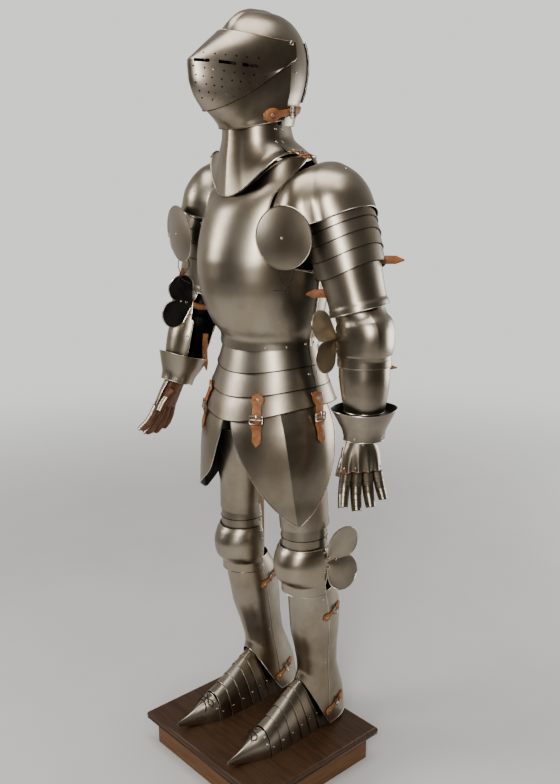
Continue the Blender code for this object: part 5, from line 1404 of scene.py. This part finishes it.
SHIN_AHEAD = {"left": 0.000, "right": 0.014}
GREAVE = [Ring(0.448, 0.000, 0.000, 0.0560, 0.0600, 0.0640, 0.069, 0, 0),
          Ring(0.385, 0.000, 0.000, 0.0590, 0.0720, 0.0790, 0.084, 0, 0),
          Ring(0.320, 0.000, 0.000, 0.0570, 0.0720, 0.0760, 0.092, 0, 0),
          Ring(0.245, 0.000, 0.000, 0.0500, 0.0630, 0.0670, 0.102, 0, 0)]
GREAVE_FOOT = {"front": [Ring(0.190, 0.012, 0.0, 0.0470, 0.0590, 0.0, 0.108, 0, 0, 1.2),
                         Ring(0.135, 0.048, 0.0, 0.0485, 0.0640, 0.0, 0.115, 0, 0, 1.2),
                         Ring(0.075, 0.097, 0.0, 0.0520, 0.0710, 0.0, 0.118, 0, 0, 1.2),
                         Ring(0.016, 0.148, 0.0, 0.0560, 0.0760, 0.0, 0.120, 0, 0, 1.2)],
               "back": [Ring(0.190, 0.0, 0.000, 0.0470, 0.0, 0.0660, 0.108, 0, 0),
                        Ring(0.135, 0.0, 0.000, 0.0485, 0.0, 0.0770, 0.115, 0, 0),
                        Ring(0.075, 0.0, 0.000, 0.0520, 0.0, 0.0930, 0.118, 0, 0),
                        Ring(0.016, 0.0, -0.004, 0.0560, 0.0, 0.0970, 0.120, 0, 0)]}
GREAVE_ARCS = {"front": (-89.7, 89.7), "back": (90.3, 269.7)}
# A strap: its name, where it starts and stops round the leg, its height at both ends, and half its width
GREAVE_STRAPS = [("calf", 75, 131, 0.363, 0.393, 0.0085), ("heel", 78, 130, 0.052, 0.090, 0.0080)]
# Where along a strap its riveted head, its buckle and its keeper sit
HEAD_AT, BUCKLE_AT, KEEPER_AT = 0.16, 0.56, 0.74


def plate_strap(name, rings, place, side, turns, levels, half, rivets):
    """A leather strap that hugs a plate, with a riveted round head, a buckle, a keeper and a loose tail."""
    count = 44
    points = []
    for n in range(count + 1):
        t = n / count
        angle, height = turns[0] + (turns[1] - turns[0]) * t, levels[0] + (levels[1] - levels[0]) * t
        out = STRAP_THICK + 0.0006 + 0.010 * max(0.0, t - 0.80) ** 1.3
        plate = rings[0] if angle < 90 else rings[1]
        pair = [level_on(plate, angle, height + rise, out) for rise in (0, 0.004)]
        points.append([place @ Vector((side * p.x, p.y, p.z)) for p in pair])
    middle_line = place @ Vector((0, rings[0][0].centre, levels[0]))
    stations = []
    for n in range(count + 1):
        t = n / count
        rounded = math.sqrt(max(0.02, 1 - ((t - HEAD_AT) / HEAD_AT) ** 2))
        head = 1.35 * half * rounded if t < 2 * HEAD_AT else 0.0
        tail = math.sqrt(max(0.02, min(1.0, (1 - t) / 0.10)))
        middle, across, out, _ = station_on(points, n, 0)
        outwards = middle - middle_line
        out = out if out.dot(outwards) > 0 else -out
        stations.append((middle, across, out, max(head, half * 0.82 * tail if t > 0.2 else 0.0008)))
    leather_band(f"{name}_leather", stations)
    buckle(f"{name}_buckle", stations[round(BUCKLE_AT * count)], half * 0.9, 0.014)
    keeper(f"{name}_keeper", stations[round(KEEPER_AT * count)], half * 0.82, 0.006)
    head = stations[round(HEAD_AT * count)]
    rivets.append((head[0], head[2]))


for name, (side, *_) in ARMS.items():
    foot = ON_PLINTH @ Matrix.Translation((side * FOOT_APART, 0, 0))
    ankle = Matrix.Translation((0, 0, ANKLE_HEIGHT))
    shin_length = KNEE_HEIGHT - ANKLE_HEIGHT
    outwards = Matrix.Rotation(side * math.atan2(KNEE_APART - FOOT_APART, shin_length), 4, "Y")
    forwards = Matrix.Rotation(math.atan2(SHIN_AHEAD[name], shin_length), 4, "X")
    shin = foot @ ankle @ forwards @ outwards @ ankle.inverted()
    whole = {}
    for part, (start, stop) in GREAVE_ARCS.items():
        rings = [ring._replace(start=start, stop=stop) for ring in GREAVE + GREAVE_FOOT[part]]
        whole[part] = rings
        plate_piece(f"greave_{part}_{name}_steel", plate_rows(rings, 72), f"greave_{part}_{name}", side, shin,
                    rolls=("top", "bottom", "start", "stop"), radius=LIP)
    for strap, start, stop, low, high, half in GREAVE_STRAPS:
        for way, mirrored in (("outer", side), ("inner", -side)):
            plate_strap(f"{strap}_strap_{way}_{name}", (whole["front"], whole["back"]), shin, mirrored,
                        (start, stop), (low, high), half, leg_rivets[name])
    for angle in (-80, 80):
        for height in (0.425, 0.215):
            leg_rivets[name].append(spot_on(whole["front"], angle, height, side, shin))
    rivet_heads(f"leg_rivets_{name}", leg_rivets[name], LIMB_HEAD)


# ---------------------------------------------------------------------------------------------------
# Sabatons: foot lames that lap like tiles down to a pointed toe cap, with a row of rivets above the
# sole. A dark lace is tied in a bow over the toe cap's seam.

Foot = namedtuple("Foot", "back wide rise sole slant")
SABATON = [Foot(0.062, 0.0350, 0.167, 0.0, 0.060),
           Foot(0.042, 0.0375, 0.158, 0.0, 0.052),
           Foot(0.020, 0.0395, 0.145, 0.0, 0.040),
           Foot(-0.004, 0.0410, 0.129, 0.0, 0.030),
           Foot(-0.032, 0.0415, 0.109, 0.0, 0.020),
           Foot(-0.060, 0.0405, 0.091, 0.0, 0.010),
           Foot(-0.090, 0.0385, 0.074, 0.0, 0.004)]
TOE_CAP = [Foot(-0.093, 0.0372, 0.0690, 0.0, 0.003),
           Foot(-0.113, 0.0305, 0.0605, 0.0, 0.0),
           Foot(-0.136, 0.0205, 0.0490, 0.0, 0.0),
           Foot(-0.160, 0.0125, 0.0380, 0.004, 0.0),
           Foot(-0.185, 0.0070, 0.0300, 0.010, 0.0),
           Foot(-0.208, 0.0030, 0.0250, 0.016, 0.0)]
TOE_OUT = 0.006
TOE_LACE = ((-0.0250, -0.136, 0.0400), (-0.0180, -0.129, 0.0500), (-0.0056, -0.124, 0.0640),
            (0.0042, -0.126, 0.0646), (0.0126, -0.134, 0.0580), (0.0182, -0.124, 0.0571),
            (0.0136, -0.114, 0.0639), (0.0016, -0.118, 0.0706), (-0.0096, -0.116, 0.0692),
            (-0.0208, -0.106, 0.0630), (-0.0275, -0.114, 0.0510), (-0.0176, -0.118, 0.0570),
            (-0.0048, -0.112, 0.0735), (0.0048, -0.106, 0.0743))
# How the first lame goes on up inside the greave
SABATON_TONGUE = {"back": 0.072, "slant": 0.082}
SEAM, ARCH_POWER, FOOT_COLUMNS, FOOT_RIVET_TURN = 0.0003, 0.85, 64, 74


def foot_point(foot, turned, inset=0.0):
    """A point of the arch over the foot, which stands on its two sides."""
    turn = math.radians(turned)
    aside, crown = math.sin(turn), abs(math.cos(turn)) ** ARCH_POWER
    width = (foot.wide - inset) * math.copysign(abs(aside) ** ARCH_POWER, aside)
    height = SEAM + foot.sole + (foot.rise - inset - foot.sole) * crown
    return Vector((width + TOE_OUT * max(0.0, -foot.back) / -TOE_CAP[-1].back,
                   foot.back + foot.slant * (1 - crown), height))


def foot_row(foot, inset=0.0):
    return [foot_point(foot, turned, inset) for turned in np.linspace(-90, 90, FOOT_COLUMNS + 1).tolist()]


for name, (side, *_) in ARMS.items():
    foot = ON_PLINTH @ Matrix.Translation((side * FOOT_APART, 0, 0))
    lames, heads = bmesh.new(), []
    sections = [SABATON[0]._replace(**SABATON_TONGUE)] + SABATON
    for near, far in zip(sections, sections[1:]):
        tucked = 0.0 if near in sections[:2] else LAP
        share = np.linspace(0, 1, 7).tolist()
        rows = []
        for t in share:
            section = Foot(*(a + (b - a) * t for a, b in zip(near, far)))
            rows.append(foot_row(section, tucked * (1 - t)))
        walled(lames, rows, side)
        roll_on(lames, edge_of(rows, "bottom", side), FINE_ROLL, 6)
        for turned in (-FOOT_RIVET_TURN, FOOT_RIVET_TURN):
            point = foot_point(far._replace(back=far.back + 0.008), turned)
            heads.append((foot @ Vector((side * point.x, point.y, point.z)),
                          Vector((side * math.copysign(1, turned), 0, 0.15)).normalized()))
    piece_from(f"sabaton_{name}_steel", lames, PLATE_FINISH, replaced=[f"sabaton_{name}"],
               place=foot)

    cap = bmesh.new()
    rows = []
    for section in smoothed(TOE_CAP, SMALL_STEP, 3):
        row = foot_row(section)
        for point in row:
            near = max(0.0, 1 - abs(point.x - row[FOOT_COLUMNS // 2].x) / (0.35 * section.wide + 0.002))
            point.z += 0.0022 * near * min(1.0, (TOE_CAP[0].back - section.back) / 0.03)
        rows.append(row)
    walled(cap, rows, side)
    roll_on(cap, edge_of(rows, "top", side), TOE_ROLL, 6)
    piece_from(f"toe_cap_{name}_steel", cap, PLATE_FINISH, replaced=[f"toe_cap_{name}"], place=foot)
    for turned in (-58, -34, 34, 58):
        point = foot_point(TOE_CAP[0]._replace(back=TOE_CAP[0].back - 0.006), turned)
        look = Vector((side * math.sin(math.radians(turned)), -0.2, math.cos(math.radians(turned))))
        heads.append((foot @ Vector((side * point.x, point.y, point.z - 0.0012)), look.normalized()))
    rivet_heads(f"foot_rivets_{name}", heads, FOOT_HEAD)
    lace(f"toe_lace_{name}_cord", f"toe_lace_{name}", cord_path(TOE_LACE, TOE_LACE_THICK, side, foot),
         TOE_LACE_THICK)


# ---------------------------------------------------------------------------------------------------
# Studio: a pale floor that fades into a pale room, with a tall light beside the camera, a wide one
# before the suit's right, one overhead and a low window behind. The room is darker behind the camera,
# which stands before the suit's left side, for the steel to reflect.

FLOOR_GLOSS, REFLECTED_GLOW = 0.62, 0.95
ROOM_PALE, ROOM_BEHIND = (0.82, 0.815, 0.80), (0.50, 0.485, 0.46)
ROOM_OVER, ROOM_DARK = (0.24, 0.23, 0.215), (0.075, 0.066, 0.056)
EYE, EYE_TILT, EYE_TURN, EYE_LENS, EYE_SHIFT = (1.6852, -1.4489, 1.664), 74.81, 48.1, 41.33, 0.0032
TO_EYE = (0.744, -0.668, 0.0)
FLOOR_FADES = (1.3, 4.5)
# Each light: where it stands, its width and height, its power, and its colour
LIGHTS = {"key light": ((2.15, -2.35, 2.3), (0.6, 2.2), 58, (1.0, 0.985, 0.955)),
          "front light": ((-2.0, -2.6, 2.5), (1.2, 2.0), 44, (1.0, 0.985, 0.96)),
          "top light": ((0.3, -0.3, 3.9), (2.4, 1.8), 46, (1.0, 0.99, 0.98)),
          "window light": ((0.9, 3.2, 0.9), (2.2, 1.5), 40, (0.97, 0.985, 1.0))}

floor_edit = bmesh.new()
bmesh.ops.create_grid(floor_edit, x_segments=1, y_segments=1, size=14)
floor_mesh = bpy.data.meshes.new("floor")
floor_edit.to_mesh(floor_mesh)
floor_edit.free()
floor_material, floor_shader, on_floor = finish_named("pale floor")
mottle = cloudy(floor_material, on_floor, (2, 2, 2), 3.0)
pale = between_colours(floor_material, mottle, (0.3, (0.66, 0.66, 0.65)), (0.7, (0.70, 0.70, 0.69)))
floor_material.node_tree.links.new(pale, floor_shader.inputs["Base Color"])
floor_shader.inputs["Roughness"].default_value = FLOOR_GLOSS
away = node_in(floor_material, "ShaderNodeVectorMath", {0: on_floor}, operation="LENGTH").outputs["Value"]
fading = {"Value": away, "From Min": FLOOR_FADES[0], "From Max": FLOOR_FADES[1]}
faded = node_in(floor_material, "ShaderNodeMapRange", fading, interpolation_type="SMOOTHSTEP").outputs[0]
clear = node_in(floor_material, "ShaderNodeBsdfTransparent").outputs[0]
both = node_in(floor_material, "ShaderNodeMixShader", {0: faded, 1: floor_shader.outputs[0], 2: clear})
floor_output = floor_material.node_tree.nodes["Material Output"]
floor_material.node_tree.links.new(both.outputs[0], floor_output.inputs["Surface"])
floor_mesh.materials.append(floor_material)
floor = bpy.data.objects.new("floor", floor_mesh)
bpy.context.scene.collection.objects.link(floor)

room = bpy.data.worlds.new("studio")
room.use_nodes = True
bpy.context.scene.world = room
shown, reflected = room.node_tree.nodes["Background"], node_in(room, "ShaderNodeBackground")
shown.inputs["Color"].default_value = (*ROOM_PALE, 1.0)
shown.inputs["Strength"].default_value = 1.0
look = node_in(room, "ShaderNodeTexCoord").outputs["Generated"]
to_eye = node_in(room, "ShaderNodeVectorMath", {0: look, 1: TO_EYE}, operation="DOT_PRODUCT").outputs["Value"]
all_round = {"Value": to_eye, "From Min": -1.0, "From Max": 1.0}
round_room = node_in(room, "ShaderNodeMapRange", all_round).outputs[0]
tone = between_colours(room, round_room, (0.10, ROOM_BEHIND), (0.42, ROOM_OVER), (0.66, ROOM_DARK))
height = node_in(room, "ShaderNodeSeparateXYZ", {0: look}).outputs["Z"]
lifted = node_in(room, "ShaderNodeMapRange", {"Value": height, "From Min": 0.25, "From Max": 0.9}).outputs[0]
mixed = node_in(room, "ShaderNodeMix", {0: lifted, 6: tone, 7: (*ROOM_OVER, 1.0)}, data_type="RGBA")
room.node_tree.links.new(mixed.outputs[2], reflected.inputs["Color"])
reflected.inputs["Strength"].default_value = REFLECTED_GLOW
seen = node_in(room, "ShaderNodeLightPath").outputs["Is Camera Ray"]
both = node_in(room, "ShaderNodeMixShader", {0: seen, 1: reflected.outputs[0], 2: shown.outputs[0]})
room.node_tree.links.new(both.outputs[0], room.node_tree.nodes["World Output"].inputs["Surface"])

MIDDLE_OF_SUIT = Vector((0, 0, 1.0))
for name, (stand_at, (wide, tall), power, colour) in LIGHTS.items():
    lamp = bpy.data.lights.new(name, "AREA")
    lamp.shape = "RECTANGLE"
    lamp.size, lamp.size_y = wide, tall
    lamp.energy, lamp.color = power, colour
    light = bpy.data.objects.new(name, lamp)
    light.location = stand_at
    light.rotation_euler = (MIDDLE_OF_SUIT - light.location).to_track_quat("-Z", "Y").to_euler()
    bpy.context.scene.collection.objects.link(light)

camera = bpy.data.objects.new("camera", bpy.data.cameras.new("camera"))
camera.location = EYE
camera.rotation_euler = (math.radians(EYE_TILT), 0, math.radians(EYE_TURN))
camera.data.lens = EYE_LENS
camera.data.shift_x = EYE_SHIFT
bpy.context.scene.collection.objects.link(camera)
bpy.context.scene.camera = camera
bpy.context.scene.view_settings.view_transform = "AgX"
bpy.context.scene.view_settings.look = "AgX - Medium High Contrast"
